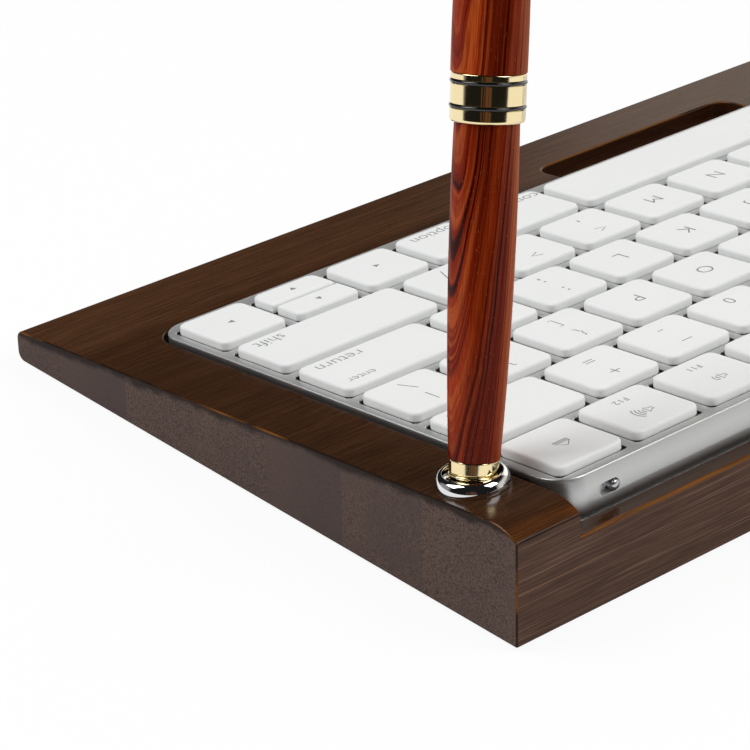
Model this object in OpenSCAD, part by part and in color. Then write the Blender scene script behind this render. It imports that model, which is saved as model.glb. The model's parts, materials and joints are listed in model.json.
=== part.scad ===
// Slim wireless keyboard that lies in a wedge-shaped wooden tray, with a pen standing in the tray's socket.
// Origin: middle of the footprint, on the table. +X is the typist's right, +Y the rear, +Z up.

/* [Keys] */
// Centre distance between neighbouring keys
key_pitch = 19.05; // [18:0.05:20]
// Gap between neighbouring key caps
key_gap = 2.85; // [2.4:0.05:3.4]
// Height of the key tops above the deck
key_rise = 1.7; // [1.4:0.1:2.4]
// How far a key goes down
key_travel = 1.6; // [1.0:0.1:1.9]
// Corner radius of a key cap in plan
key_corner_r = 2; // [1:0.1:3]
// Height of the sloping edge round the top of a key cap
key_edge = 0.5; // [0.2:0.1:0.8]
// Thickness of a key cap's top
cap_top = 1; // [0.8:0.1:1.2]
// Thickness of a key cap's side walls
cap_wall = 1.2; // [0.8:0.1:1.5]
// Depth of a key cap's skirt below the deck
cap_skirt = 0.3; // [0.2:0.1:0.6]
// Gap between the two half-depth arrow keys
split_gap = 1; // [0.8:0.1:1.6]
// Clearance round a key cap in its opening
key_clear = 0.3; // [0.2:0.05:0.45]

/* [Keyboard case] */
// Deck beside the end keys
deck_side = 2.2; // [2:0.1:4]
// Deck in front of the front row
deck_front = 4; // [3.8:0.1:8]
// Deck behind the rear row
deck_rear = 2.4; // [2:0.1:4]
// Corner radius of the deck in plan
deck_corner_r = 6; // [4:0.5:9]
// Thickness of the deck and its skirt
deck_t = 1; // [0.8:0.1:1.2]
// Depth of the skirt round the rear of the case
rear_skirt = 8.6; // [7.5:0.1:9.5]
// Radius of the bulge of the case's rear face
rear_bulge_r = 18; // [14:1:30]
// Thickness of the membrane sheet
membrane_t = 0.3; // [0.2:0.1:0.5]
// Thickness of the key support plate
plate_t = 0.5; // [0.4:0.1:0.8]
// Thickness of the bottom cover
cover_t = 1; // [0.8:0.1:1.2]
// Front-to-back size of the battery bay
bay_d = 18; // [16.5:0.5:20]

/* [Batteries and switch] */
// Diameter of a battery cell
cell_d = 10.5; // [9.5:0.1:10.8]
// Length of a battery cell without its nub
cell_l = 43.3; // [40:0.1:46]
// Diameter of the battery cap
cap_d = 12; // [11:0.1:12.4]
// Distance of the power switch from the right end of the keys
switch_inset = 8.8; // [8:0.1:14]
// Depth of the power switch below the deck
switch_drop = 4.1; // [3.8:0.1:5]
// Diameter of the power switch knob
knob_d = 2; // [1.6:0.1:2.2]
// How far the power switch knob slides
knob_travel = 2.5; // [1.5:0.1:3]

/* [Tray] */
// Width of the wood beside the keyboard
rail_w = 15.2; // [14.5:0.1:30]
// Slope of the deck and of the tray's top
tilt = 6.36; // [6:0.1:7]
// From the tray's front face to the front row of keys
deck_setback = 30.5; // [24:0.5:50]
// Height of the deck above the tray's top
deck_proud = 0.8; // [0.4:0.1:1.2]
// Thickness of the wood under the keyboard
tray_floor = 5; // [3:0.1:8]
// Clearance round the keyboard in the tray
tray_clear = 0.9; // [0.6:0.1:1.2]
// Clearance behind the keyboard in the tray
lip_clear = 0.5; // [0.4:0.1:1]
// Thickness of the keyboard's soft pads under its lowest edge
pad_t = 0.5; // [0.3:0.1:1.5]
// Thickness of the lip behind the keyboard
lip_t = 4; // [3:0.1:6]
// Height of the lip above the tray's underside
lip_h = 16.3; // [10:0.1:17]
// Radius of the rounded front edges
front_round = 2; // [1:0.1:3]
// Radius of the rounded rear edge
rear_round = 11; // [9:0.5:14]
// Where the rear rounding starts, before the rear face
rear_round_start = 7.2; // [4:0.1:8]
// Length of the finger notch in front of the keyboard
notch_l = 60; // [40:1:90]
// How far the finger notch reaches in front of the keyboard's recess
notch_d = 9.3; // [6:0.1:14]
// Place of the finger notch, to the left of the middle
notch_offset = 5; // [0:1:30]
// Corner radius of the finger notch
notch_r = 4; // [2:0.5:6]
// Diameter of a tray foot
foot_d = 14; // [10:1:20]
// Height of a tray foot below the wood
foot_h = 0.8; // [0.5:0.1:2]
// Depth of a tray foot's seat in the wood
foot_seat = 0.8; // [0.5:0.1:1.2]
// From the tray's edges to the middle of a foot
foot_inset = 20; // [12:1:30]

/* [Pen and socket] */
// Distance of the pen from the middle of the wood beside the keyboard, towards the keyboard
pen_shift = 0.7; // [0:0.1:0.9]
// From the tray's rear face to the pen
pen_from_rear = 20; // [18:0.1:40]
// Lean of the pen from the vertical
pen_lean = 15.5; // [0:0.5:18]
// Direction in which the pen leans, turned from +X
pen_lean_dir = 218; // [200:1:240]
// Diameter of the socket's flange
flange_d = 13.6; // [12.5:0.1:14]
// Height of the socket's flange
flange_h = 2.5; // [2:0.1:2.8]
// Outside diameter of the socket's sleeve
sleeve_d = 8.6; // [8:0.1:9.4]
// Depth of the socket's sleeve
sleeve_l = 14; // [10:0.5:15]
// Diameter of the pen's nose in the socket
nose_d = 6.4; // [5.5:0.1:6.6]
// Diameter of the metal collar above the nose
collar_d = 8.8; // [7.6:0.1:8.9]
// Length of the metal collar
collar_l = 3.1; // [2:0.1:5]
// Length of the lower barrel
lower_l = 59; // [50:0.1:75]
// Largest diameter of the lower barrel
lower_d = 11.6; // [10.5:0.1:12]
// Diameter of the lower barrel at the collar
lower_end_d = 9.1; // [8.8:0.1:10]
// Height of the centre band
band_h = 8.4; // [7:0.1:11]
// Diameter of the centre band
band_d = 13; // [12.4:0.1:13.2]
// Thickness of a black band ring
ring_t = 0.8; // [0.6:0.1:1]
// Length of the upper barrel
upper_l = 44; // [36:1:52]
// Largest diameter of the upper barrel
upper_d = 13.2; // [12.8:0.1:13.6]
// Diameter of the upper barrel at the finial
upper_end_d = 10.6; // [10.2:0.1:12]
// Length of the finial
finial_l = 6; // [4:0.5:9]
// Length of the pocket clip
clip_l = 34; // [24:1:40]
// Direction of the pocket clip, turned from the lean
clip_turn = 0; // [0:5:355]

/* [Hidden] */
$fn = 48;
// Segments of the very large, flat arcs
fine = 2400;
// Clearance between pieces that are fixed to each other
fit_gap = 0.05;
// Overlap of a cutting shape past the face that it cuts
over = 1;

key_size = key_pitch - key_gap;
half_depth = (key_size - split_gap) / 2;
cap_h = key_rise + cap_skirt;
cap_ceiling = key_rise - cap_top;

// Each row from left to right, as node name and width in key units; rows from the front to the rear
function bank(name, count) = [for (i = [1 : count]) [name, 1]];
function singles(names) = [for (name = names) [name, 1]];
SPLIT = "key_up_arrow";
ROWS = [
    concat(bank("keys_front_row_left", 3), [["keys_front_row_left", 1.25], ["key_space", 5]],
        [["key_right_command", 1.25]], singles(["key_right_option", "key_left_arrow", SPLIT, "key_right_arrow"])),
    concat([["keys_shift_row_left", 2.25]], bank("keys_shift_row_left", 4),
        singles(["key_b", "key_n", "key_m", "key_comma", "key_period", "key_slash"]), [["key_right_shift", 2.25]]),
    concat([["keys_home_row_left", 1.75]], bank("keys_home_row_left", 6),
        singles(["key_j", "key_k", "key_l", "key_semicolon", "key_quote"]), [["key_return", 1.75]]),
    concat([["keys_upper_row_left", 1.5]], bank("keys_upper_row_left", 7),
        singles(["key_i", "key_o", "key_p", "key_left_bracket", "key_right_bracket", "key_backslash"])),
    concat(bank("keys_number_row_left", 10), singles(["key_zero", "key_minus", "key_equals"]),
        [["key_delete", 1.5]]),
    concat([["keys_function_row_left", 1.5]], bank("keys_function_row_left", 10),
        singles(["key_f11", "key_f12", "key_eject"]))
];
function width_before(row, i) = i == 0 ? 0 : width_before(row, i - 1) + row[i - 1][1];
row_units = width_before(ROWS[0], len(ROWS[0]));
field_w = row_units * key_pitch - key_gap;
field_d = len(ROWS) * key_pitch - key_gap;

// Each key place as node name, left edge, front edge and width
PLACES = [for (r = [0 : len(ROWS) - 1]) for (i = [0 : len(ROWS[r]) - 1])
    [ROWS[r][i][0], -field_w / 2 + width_before(ROWS[r], i) * key_pitch, r * key_pitch,
     ROWS[r][i][1] * key_pitch - key_gap]];
// Each key cap as node name, left edge, front edge, width and depth
CAPS = concat(
    [for (p = PLACES) if (p[0] != SPLIT) concat(p, [key_size])],
    [for (p = PLACES) if (p[0] == SPLIT) ["key_down_arrow", p[1], p[2], p[3], half_depth]],
    [for (p = PLACES) if (p[0] == SPLIT) [SPLIT, p[1], p[2] + half_depth + split_gap, p[3], half_depth]]);
KEY_NODES = [for (i = [0 : len(CAPS) - 1]) if (i == 0 || CAPS[i][0] != CAPS[i - 1][0]) CAPS[i][0]];
// Keys at least this wide have a stabiliser bar
wide_key = 1.4 * key_pitch;

// Heights below the deck's top
press_gap = 0.3;
membrane_z = -(cap_skirt + key_travel + press_gap);
plate_z = membrane_z - membrane_t;
floor_z = plate_z - plate_t;
cover_z = floor_z - cover_t;
link_t = 0.6;
link_gap = 0.1;
link_side_gap = 0.3;

deck_w = field_w + 2 * deck_side;
deck_y0 = -deck_front;
deck_y1 = field_d + deck_rear;
bulge_z = -rear_skirt * 0.55;
bulge_y = deck_y1 - sqrt(rear_bulge_r * rear_bulge_r - bulge_z * bulge_z);
case_y1 = bulge_y + rear_bulge_r;
inner_w = deck_w - 2 * deck_t;
inner_r = deck_corner_r - deck_t;
board_gap = 0.4;

bay_y0 = case_y1 - bay_d;
cell_gap = 0.35;
cell_top_gap = 1.2;
cell_y = bay_y0 + bay_d / 2;
cell_z = cover_z - cell_top_gap - cell_d / 2 + cover_t;
bay_floor_z = cell_z - cell_d / 2 - cell_gap;
bay_z = bay_floor_z - cover_t;
bay_wall = 1.2;
// How far the bay's front wall reaches under the cover
wall_lap = bay_wall / 2;
bay_chamfer = 5;
rib_d = bay_d - 2.5 * bay_wall;
cap_t = 1.8;
cap_inset = 0.6;
cap_clear = 0.1;
cap_slot_w = 1.4;
cap_slot_depth = 0.8;
cap_x = -deck_w / 2 + cap_inset;
contact_t = 0.4;
contact_gap = 0.1;
nub_d = 3.6;
nub_h = 1.1;
cell_pitch = cell_l + nub_h + contact_gap;
cells_x0 = cap_x + cap_t + contact_t + 3 * contact_gap;
cells_x1 = cells_x0 + 2 * cell_pitch;
stop_x = cells_x1 + contact_t + contact_gap;

screw_xs = [for (i = [-2 : 2]) i * field_w * 0.21];
screw_y = deck_y0 + deck_t + (deck_front - deck_t - key_clear) / 2;
screw_d = 1;
screw_head_d = 2.2;
screw_head_t = 0.45;
boss_d = deck_front - deck_t - key_clear - 0.4;

switch_x = field_w / 2 - switch_inset;
slot_gap = 0.2;
slot_l = knob_travel + knob_d + 2 * slot_gap;
slot_h = knob_d + 2 * slot_gap;
knob_x = switch_x - knob_travel / 2;
knob_proud = 0.6;
switch_h = 3;
switch_d = 3.6;
switch_l = 8;
switch_wall_gap = 0.8;
switch_y1 = case_y1 - deck_t - switch_wall_gap;
board_top = -switch_drop - switch_h / 2 - 0.4;
board_t = 1;
board_w = 62;
board_x1 = switch_x + switch_l / 2 + 2;
board_margin = 0.6;

// The deck's frame in the tray: its lowest edge lies one pad above the tray's floor
low_edge = min(bay_y0 * sin(tilt) + bay_z * cos(tilt), deck_y0 * sin(tilt) + cover_z * cos(tilt));
deck_height = tray_floor + pad_t - low_edge;
tray_w = deck_w + 2 * tray_clear + 2 * rail_w;
rear_reach = case_y1 * cos(tilt) - (bay_z + bay_chamfer) * sin(tilt);
tray_d = deck_setback + rear_reach + lip_clear + lip_t;
deck_o = [0, -tray_d / 2 + deck_setback, foot_h + deck_height];
function tray_top(y) = deck_o[2] - deck_proud / cos(tilt) + (y - deck_o[1]) * tan(tilt);
function deck_to_y(y, z) = deck_o[1] + y * cos(tilt) - z * sin(tilt);
recess_x = deck_w / 2 + tray_clear;
recess_y0 = deck_to_y(deck_y0, 0) - tray_clear;
recess_y1 = tray_d / 2 - lip_t;
recess_z = foot_h + tray_floor;
recess_r = deck_corner_r + tray_clear;
pad_d = 9;
pad_inset = 16;

pen_x = tray_w / 2 - rail_w / 2 - pen_shift;
pen_y = tray_d / 2 - pen_from_rear;
pen_o = [pen_x, pen_y, tray_top(pen_y)];
sleeve_gap = 0.1;
nose_gap = 0.25;
nose_l = sleeve_l - sleeve_d * 0.12;
shoulder_d = collar_d + 0.3;
shoulder_t = 0.6;
// Angle between the pen and a line square to the wood
pen_tip = acos(cos(pen_lean) * cos(tilt) - sin(pen_lean) * sin(pen_lean_dir) * sin(tilt));
seat_gap = 0.2;
seat_floor = 0.15;
seat_d = shoulder_d + 2 * seat_gap;
seat_z = (seat_floor + seat_d / 2 * sin(pen_tip)) / cos(pen_tip);
shoulder_z = seat_z + nose_gap;
lower_z = shoulder_z + collar_l;
band_z = lower_z + lower_l;
upper_z = band_z + band_h;
finial_z = upper_z + upper_l;
core_d = nose_d;
lower_swell_z = lower_z + lower_l * 0.74;
upper_swell_z = upper_z + upper_l * 0.12;
ring_zs = [band_z + band_h * 0.32, band_z + band_h * 0.82];

module on_deck() {
    translate(deck_o) rotate([tilt, 0, 0]) children();
}

module on_pen() {
    translate(pen_o) rotate([0, pen_lean, pen_lean_dir]) children();
}

// Lays a (y, z) outline along x, from x0
module along_x(x0, length) {
    translate([x0, 0, 0]) rotate([90, 0, 90]) linear_extrude(length) children();
}

module rounded_rect(w, d, r) {
    translate([r, 0]) square([w - 2 * r, d]);
    translate([0, r]) square([w, d - 2 * r]);
    for (x = [r, w - r], y = [r, d - r]) translate([x, y]) circle(r);
}

// Deck outline, drawn in by a distance
module deck_outline(inset) {
    translate([-deck_w / 2 + inset, deck_y0 + inset])
        rounded_rect(deck_w - 2 * inset, case_y1 - deck_y0 - 2 * inset, deck_corner_r - inset);
}

// Cap edge outline: upright sides and a sloping edge at the top
module cap_section(w) {
    polygon([[0, 0], [w, 0], [w, cap_h - key_edge], [w - key_edge, cap_h], [key_edge, cap_h], [0, cap_h - key_edge]]);
}

module key_cap(w, d) {
    difference() {
        intersection() {
            linear_extrude(cap_h) rounded_rect(w, d, key_corner_r);
            along_x(0, w) cap_section(d);
            translate([0, d, 0]) rotate([90, 0, 0]) linear_extrude(d) cap_section(w);
        }
        translate([cap_wall, cap_wall, -over])
            cube([w - 2 * cap_wall, d - 2 * cap_wall, cap_h - cap_top + over]);
    }
}

module keys(name) {
    color("white") on_deck()
        for (c = CAPS) if (c[0] == name) translate([c[1], c[2], -cap_skirt]) key_cap(c[3], c[4]);
}

// Square opening with slightly cut corners
module key_opening(w, d) {
    cut = key_corner_r * 0.3;
    a = -key_clear;
    u = w + key_clear;
    v = d + key_clear;
    polygon([[a + cut, a], [u - cut, a], [u, a + cut], [u, v - cut], [u - cut, v], [a + cut, v], [a, v - cut],
        [a, a + cut]]);
}

// Case section with the bulged rear face, open below
module rear_section(inset) {
    translate([deck_y0 + inset, -rear_skirt - over])
        square([bulge_y - deck_y0 - inset, rear_skirt + over + -inset]);
    intersection() {
        translate([bulge_y, bulge_z]) circle(rear_bulge_r - inset, $fn = fine);
        translate([bulge_y, -rear_skirt - over]) square([rear_bulge_r, rear_skirt + over - inset]);
    }
}

module case_shape(inset, depth) {
    intersection() {
        translate([0, 0, -depth]) linear_extrude(depth) deck_outline(inset);
        along_x(-deck_w / 2, deck_w) rear_section(inset);
    }
}

module power_slot() {
    translate([switch_x, case_y1 + over, -switch_drop]) rotate([90, 0, 0])
        linear_extrude(deck_t * 2 + 2 * over)
            translate([-slot_l / 2, -slot_h / 2]) rounded_rect(slot_l, slot_h, slot_h * 0.499);
}

module battery_hole(gap) {
    translate([-deck_w / 2 - over, cell_y, cell_z]) rotate([0, 90, 0])
        cylinder(d = cap_d + 2 * gap, h = cap_inset + cap_t + 2 * contact_t + over);
}

module top_case() {
    color("silver") on_deck() difference() {
        case_shape(0, rear_skirt);
        difference() {
            case_shape(deck_t, rear_skirt);
            for (x = screw_xs) translate([x, screw_y, floor_z]) cylinder(d = boss_d, h = -floor_z);
        }
        translate([-deck_w, deck_y0 - over, -rear_skirt - over])
            cube([2 * deck_w, bay_y0 - deck_y0 + over, rear_skirt + floor_z + over]);
        translate([0, 0, -deck_t - over]) linear_extrude(deck_t + 2 * over)
            for (p = PLACES) translate([p[1], p[2]]) key_opening(p[3], key_size);
        for (x = screw_xs) translate([x, screw_y, floor_z - over]) cylinder(d = screw_d, h = over - floor_z - deck_t);
        power_slot();
        battery_hole(cap_clear);
    }
}

// Battery bay outline: the rear strip of the deck outline
module bay_outline(inset) {
    intersection() {
        deck_outline(inset);
        translate([-deck_w / 2, bay_y0 + inset]) square([deck_w, bay_d]);
    }
}

// Section of the bay's lower part, with its rear bottom edge cut off
module bay_section() {
    polygon([[bay_y0, bay_z], [case_y1 - bay_chamfer, bay_z], [case_y1, bay_z + bay_chamfer],
        [case_y1, -rear_skirt], [bay_y0, -rear_skirt]]);
}

// Rib across the bay, from its floor up to a height
module bay_rib(x, top) {
    low = bay_floor_z - cover_t / 2;
    translate([x, bay_y0 + bay_wall / 2, low]) cube([bay_wall, rib_d, top - low]);
}

module bottom_cover() {
    color("gainsboro") on_deck() difference() {
        union() {
            translate([0, 0, cover_z]) linear_extrude(cover_t) intersection() {
                deck_outline(0);
                translate([-deck_w / 2, deck_y0]) square([deck_w, bay_y0 - deck_y0]);
            }
            translate([-inner_w / 2 + board_gap, bay_y0 - wall_lap, -rear_skirt - over])
                cube([inner_w - 2 * board_gap, bay_wall + wall_lap, rear_skirt + over + floor_z]);
            difference() {
                intersection() {
                    translate([0, 0, bay_z]) linear_extrude(-rear_skirt - bay_z) bay_outline(0);
                    along_x(-deck_w / 2, deck_w) bay_section();
                }
                intersection() {
                    translate([0, 0, bay_floor_z]) linear_extrude(-bay_floor_z) bay_outline(bay_wall);
                    along_x(-deck_w / 2, deck_w) translate([-bay_wall, cover_t]) bay_section();
                }
            }
            bay_rib(stop_x, floor_z);
            for (x = [board_x1 - board_w + 3, board_x1 - 3 - bay_wall]) bay_rib(x, board_top - board_t);
        }
        battery_hole(cap_clear);
        for (x = screw_xs) translate([x, screw_y, cover_z - over]) {
            cylinder(d = screw_d + 2 * fit_gap, h = cover_t + 2 * over);
            cylinder(d = screw_head_d + 4 * fit_gap, h = screw_head_t + over);
        }
    }
}

// Outline of the sheets under the keys
module sheet_outline() {
    front = -key_clear + fit_gap;
    inset = deck_t + board_gap;
    translate([-deck_w / 2 + inset, front])
        rounded_rect(deck_w - 2 * inset, deck_y1 - inset - front, deck_corner_r - inset);
}

module key_support_plate() {
    color("dimgray") on_deck() translate([0, 0, floor_z]) linear_extrude(plate_t) sheet_outline();
}

module membrane_sheet() {
    color("darkseagreen") on_deck() translate([0, 0, plate_z]) linear_extrude(membrane_t) sheet_outline();
}

// Rubber dome under a key of the given depth
module dome(depth) {
    base_d = 0.28 * depth;
    cylinder(d1 = base_d, d2 = 0.65 * base_d, h = cap_ceiling - membrane_z - fit_gap);
}

module rubber_domes() {
    color("lightgray") on_deck()
        for (c = CAPS) translate([c[1] + c[3] / 2, c[2] + c[4] / 2, membrane_z]) dome(c[4]);
}

module link_frame(w, d, bar) {
    linear_extrude(link_t, center = true) difference() {
        square([w, d], center = true);
        square([w - 2 * bar, d - 2 * bar], center = true);
    }
}

// Two frames that cross like scissors, between the membrane and the cap
module scissor(depth) {
    w = 0.7 * key_size;
    d = 0.59 * depth;
    bar = 0.06 * depth;
    reach = (cap_ceiling - membrane_z) / 2 - link_gap - link_t / 2;
    angle = asin(2 * reach / d);
    translate([0, 0, (cap_ceiling + membrane_z) / 2]) {
        rotate([angle, 0, 0]) link_frame(w, d, bar);
        rotate([-angle, 0, 0]) link_frame(w - 2 * bar - 2 * link_side_gap, d, bar);
    }
}

module scissor_links() {
    color("ivory") on_deck()
        for (c = CAPS) translate([c[1] + c[3] / 2, c[2] + c[4] / 2, 0]) scissor(c[4]);
}

// Wire bar that keeps a wide key level: a long bar with two short legs
module stabiliser_bars() {
    bar_d = 0.7;
    leg = 5;
    z = cap_ceiling - link_gap - bar_d / 2;
    color("silver") on_deck() for (c = CAPS) if (c[3] > wide_key) {
        inset = cap_wall + 2 * bar_d;
        translate([c[1] + inset, c[2] + inset, z]) {
            rotate([0, 90, 0]) cylinder(d = bar_d, h = c[3] - 2 * inset);
            for (x = [0, c[3] - 2 * inset]) translate([x, 0, 0]) {
                rotate([-90, 0, 0]) cylinder(d = bar_d, h = leg);
                sphere(d = bar_d);
            }
        }
    }
}

// Circuit board in the right end of the bay, with its chips and the body of the power switch
module controller_board() {
    y0 = bay_y0 + bay_wall + board_margin;
    y1 = switch_y1;
    chip_l = board_w * 0.13;
    chip_d = (y1 - y0) * 0.6;
    chip_h = board_t * 1.2;
    chip_pitch = board_w * 0.21;
    color("darkgreen") on_deck() {
        translate([board_x1 - board_w, y0, board_top - board_t]) cube([board_w, y1 - y0, board_t]);
        for (i = [0 : 2]) translate([board_x1 - board_w + chip_l + i * chip_pitch, y0 + chip_d / 4, board_top])
            cube([chip_l, chip_d, chip_h]);
        translate([switch_x - switch_l / 2, switch_y1 - switch_d, board_top])
            cube([switch_l, switch_d, switch_h]);
    }
}

module cell() {
    rotate([0, 90, 0]) {
        cylinder(d = cell_d, h = cell_l);
        cylinder(d = nub_d, h = cell_l + nub_h);
    }
}

module battery_cells() {
    color("goldenrod") on_deck()
        for (i = [0 : 1]) translate([cells_x0 + i * cell_pitch, cell_y, cell_z]) cell();
}

module battery_contacts() {
    color("lightsteelblue") on_deck() for (x = [cap_x + cap_t + contact_gap, cells_x1])
        translate([x, cell_y, cell_z]) rotate([0, 90, 0]) cylinder(d = cell_d - over, h = contact_t);
}

module battery_cap() {
    color("gray") on_deck() translate([cap_x, cell_y, cell_z]) rotate([0, 90, 0]) difference() {
        cylinder(d = cap_d, h = cap_t);
        translate([-cap_slot_w / 2, -cap_d / 3, -over]) cube([cap_slot_w, cap_d * 2 / 3, cap_slot_depth + over]);
    }
}

module power_switch_knob() {
    flange = 3;
    color("lightgray") on_deck() translate([knob_x, switch_y1 + fit_gap, -switch_drop]) rotate([-90, 0, 0]) {
        cylinder(d = knob_d, h = case_y1 + knob_proud - switch_y1 - knob_d / 4);
        translate([0, 0, case_y1 + knob_proud - switch_y1 - knob_d / 4])
            intersection() {
                scale(1) sphere(d = knob_d);
                cylinder(d = knob_d, h = knob_d / 4);
            }
        translate([-flange / 2, -knob_d / 2, 0]) cube([flange, knob_d, switch_wall_gap / 3]);
    }
}

// Soft pads between the keyboard and the tray's floor, cut level with that floor
module keyboard_feet() {
    color("gray") {
        for (x = [-1, 1]) foot_pad(x * (deck_w / 2 - pad_inset), deck_y0 + pad_inset, cover_z);
        for (x = [-1, 1]) foot_pad(x * (deck_w / 2 - pad_inset), cell_y, bay_z);
    }
}

module foot_pad(x, y, top) {
    intersection() {
        on_deck() translate([x, y, top - deck_height]) cylinder(d = pad_d, h = deck_height);
        translate([-tray_w / 2, -tray_d / 2, recess_z]) cube([tray_w, tray_d, deck_height * 3]);
    }
}

module case_screws() {
    color("silver") on_deck() for (x = screw_xs) translate([x, screw_y, cover_z + fit_gap]) {
        cylinder(d = screw_head_d, h = screw_head_t - fit_gap);
        cylinder(d = screw_d - 2 * fit_gap, h = -cover_z - deck_t - 4 * fit_gap);
    }
}

// What a rounding of radius r at centre c takes off the corner between the points a and b
module edge_cut(c, r, a, corner, b) {
    difference() {
        polygon([c, a, corner, b]);
        translate(c) circle(r, $fn = 96);
    }
}

// Side view of the tray's wedge
module tray_section() {
    y0 = -tray_d / 2;
    y1 = tray_d / 2;
    f = front_round;
    front_c = [y0 + f, tray_top(y0 + f) - f / cos(tilt)];
    low_c = [y0 + f, foot_h + f];
    rear_y = y1 - rear_round_start;
    rear_t = [rear_y, tray_top(rear_y)];
    rear_c = rear_t + rear_round * [sin(tilt), -cos(tilt)];
    difference() {
        polygon([[y0, foot_h], [y1, foot_h], [y1, tray_top(y1)], [y0, tray_top(y0)]]);
        edge_cut(front_c, f, [y0, front_c[1]], [y0, tray_top(y0)], front_c + f * [-sin(tilt), cos(tilt)]);
        edge_cut(low_c, f, [low_c[0], foot_h], [y0, foot_h], [y0, low_c[1]]);
        edge_cut(rear_c, rear_round, rear_t, [y1 + over, tray_top(y1 + over)], [y1 + over, rear_c[1]]);
    }
}

// Recess for the keyboard, with rounded front corners, and the finger notch before it
module recess_outline() {
    translate([-recess_x, recess_y0 + recess_r])
        square([2 * recess_x, recess_y1 - recess_y0 - recess_r]);
    translate([-recess_x + recess_r, recess_y0]) square([2 * (recess_x - recess_r), 2 * recess_r]);
    for (x = [-1, 1]) translate([x * (recess_x - recess_r), recess_y0 + recess_r]) circle(recess_r);
    translate([-notch_offset - notch_l / 2, recess_y0 - notch_d])
        rounded_rect(notch_l, notch_d + recess_r, notch_r);
}

module feet_places() {
    for (x = [-1, 1], y = [-1, 1])
        translate([x * (tray_w / 2 - foot_inset), y * (tray_d / 2 - foot_inset), 0]) children();
}

module tray_body() {
    tall = 3 * deck_height;
    color([0.24, 0.14, 0.08]) difference() {
        along_x(-tray_w / 2, tray_w) tray_section();
        translate([0, 0, recess_z]) linear_extrude(tall) recess_outline();
        translate([-recess_x, recess_y1 - over, foot_h + lip_h]) cube([2 * recess_x, lip_t + 2 * over, tall]);
        feet_places() cylinder(d = foot_d + 2 * fit_gap, h = foot_h + foot_seat);
        on_pen() translate([0, 0, -sleeve_l - sleeve_gap])
            cylinder(d = sleeve_d + 2 * sleeve_gap, h = sleeve_l + sleeve_d);
    }
}

module tray_feet() {
    color("black") feet_places() cylinder(d = foot_d, h = foot_h + foot_seat);
}

// Rounded ring on the sloping wood, with a seat and a closed sleeve that follow the pen
module pen_socket() {
    bead = flange_h * 0.52;
    seat_rim = bead / 2;
    color("silver") difference() {
        union() {
            translate(pen_o) rotate([tilt, 0, 0]) {
                rotate_extrude() intersection() {
                    translate([flange_d / 2 - bead, flange_h - bead]) circle(bead);
                    square([flange_d, flange_h]);
                }
                cylinder(d = flange_d - bead, h = bead / 2);
            }
            intersection() {
                on_pen() translate([0, 0, -flange_h])
                    cylinder(d1 = flange_d - bead, d2 = seat_d + 2 * seat_rim, h = seat_z + flange_h);
                translate(pen_o) rotate([tilt, 0, 0]) cylinder(d = flange_d - bead, h = flange_h);
            }
            intersection() {
                on_pen() translate([0, 0, -sleeve_l]) cylinder(d = sleeve_d, h = sleeve_l + seat_z);
                translate(pen_o) rotate([tilt, 0, 0]) translate([-tray_d, -tray_d, -tray_d])
                    cube([2 * tray_d, 2 * tray_d, tray_d + bead / 4]);
            }
        }
        on_pen() translate([0, 0, -nose_l - nose_gap])
            cylinder(d = nose_d + 2 * nose_gap, h = nose_l + 2 * flange_h + over);
        on_pen() translate([0, 0, seat_z]) cylinder(d = seat_d, h = 2 * flange_h);
    }
}

// Long, slightly swelling wooden barrel, bored for the pen's core
module barrel(z, length, swell_z, swell_d, end_z, end_d) {
    steps = 12;
    bore = core_d / 2 + fit_gap;
    function radius(h) = swell_d / 2 - (swell_d - end_d) / 2 * pow((h - swell_z) / (end_z - swell_z), 2);
    outline = [for (i = [0 : steps]) let (h = z + length * i / steps) [radius(h), h]];
    rotate_extrude() polygon(concat(outline, [[bore, z + length], [bore, z]]));
}

module pen_barrels() {
    color([0.55, 0.17, 0.07]) on_pen() {
        barrel(lower_z, lower_l, lower_swell_z, lower_d, lower_z, lower_end_d);
        barrel(upper_z, upper_l, upper_swell_z, upper_d, finial_z, upper_end_d);
    }
}

module band_groove(z, gap) {
    translate([0, 0, z - ring_t / 2 - gap]) difference() {
        cylinder(d = band_d + over, h = ring_t + 2 * gap);
        translate([0, 0, -over]) cylinder(d = band_d - ring_t - 2 * gap, h = ring_t + 2 * over);
    }
}

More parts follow.
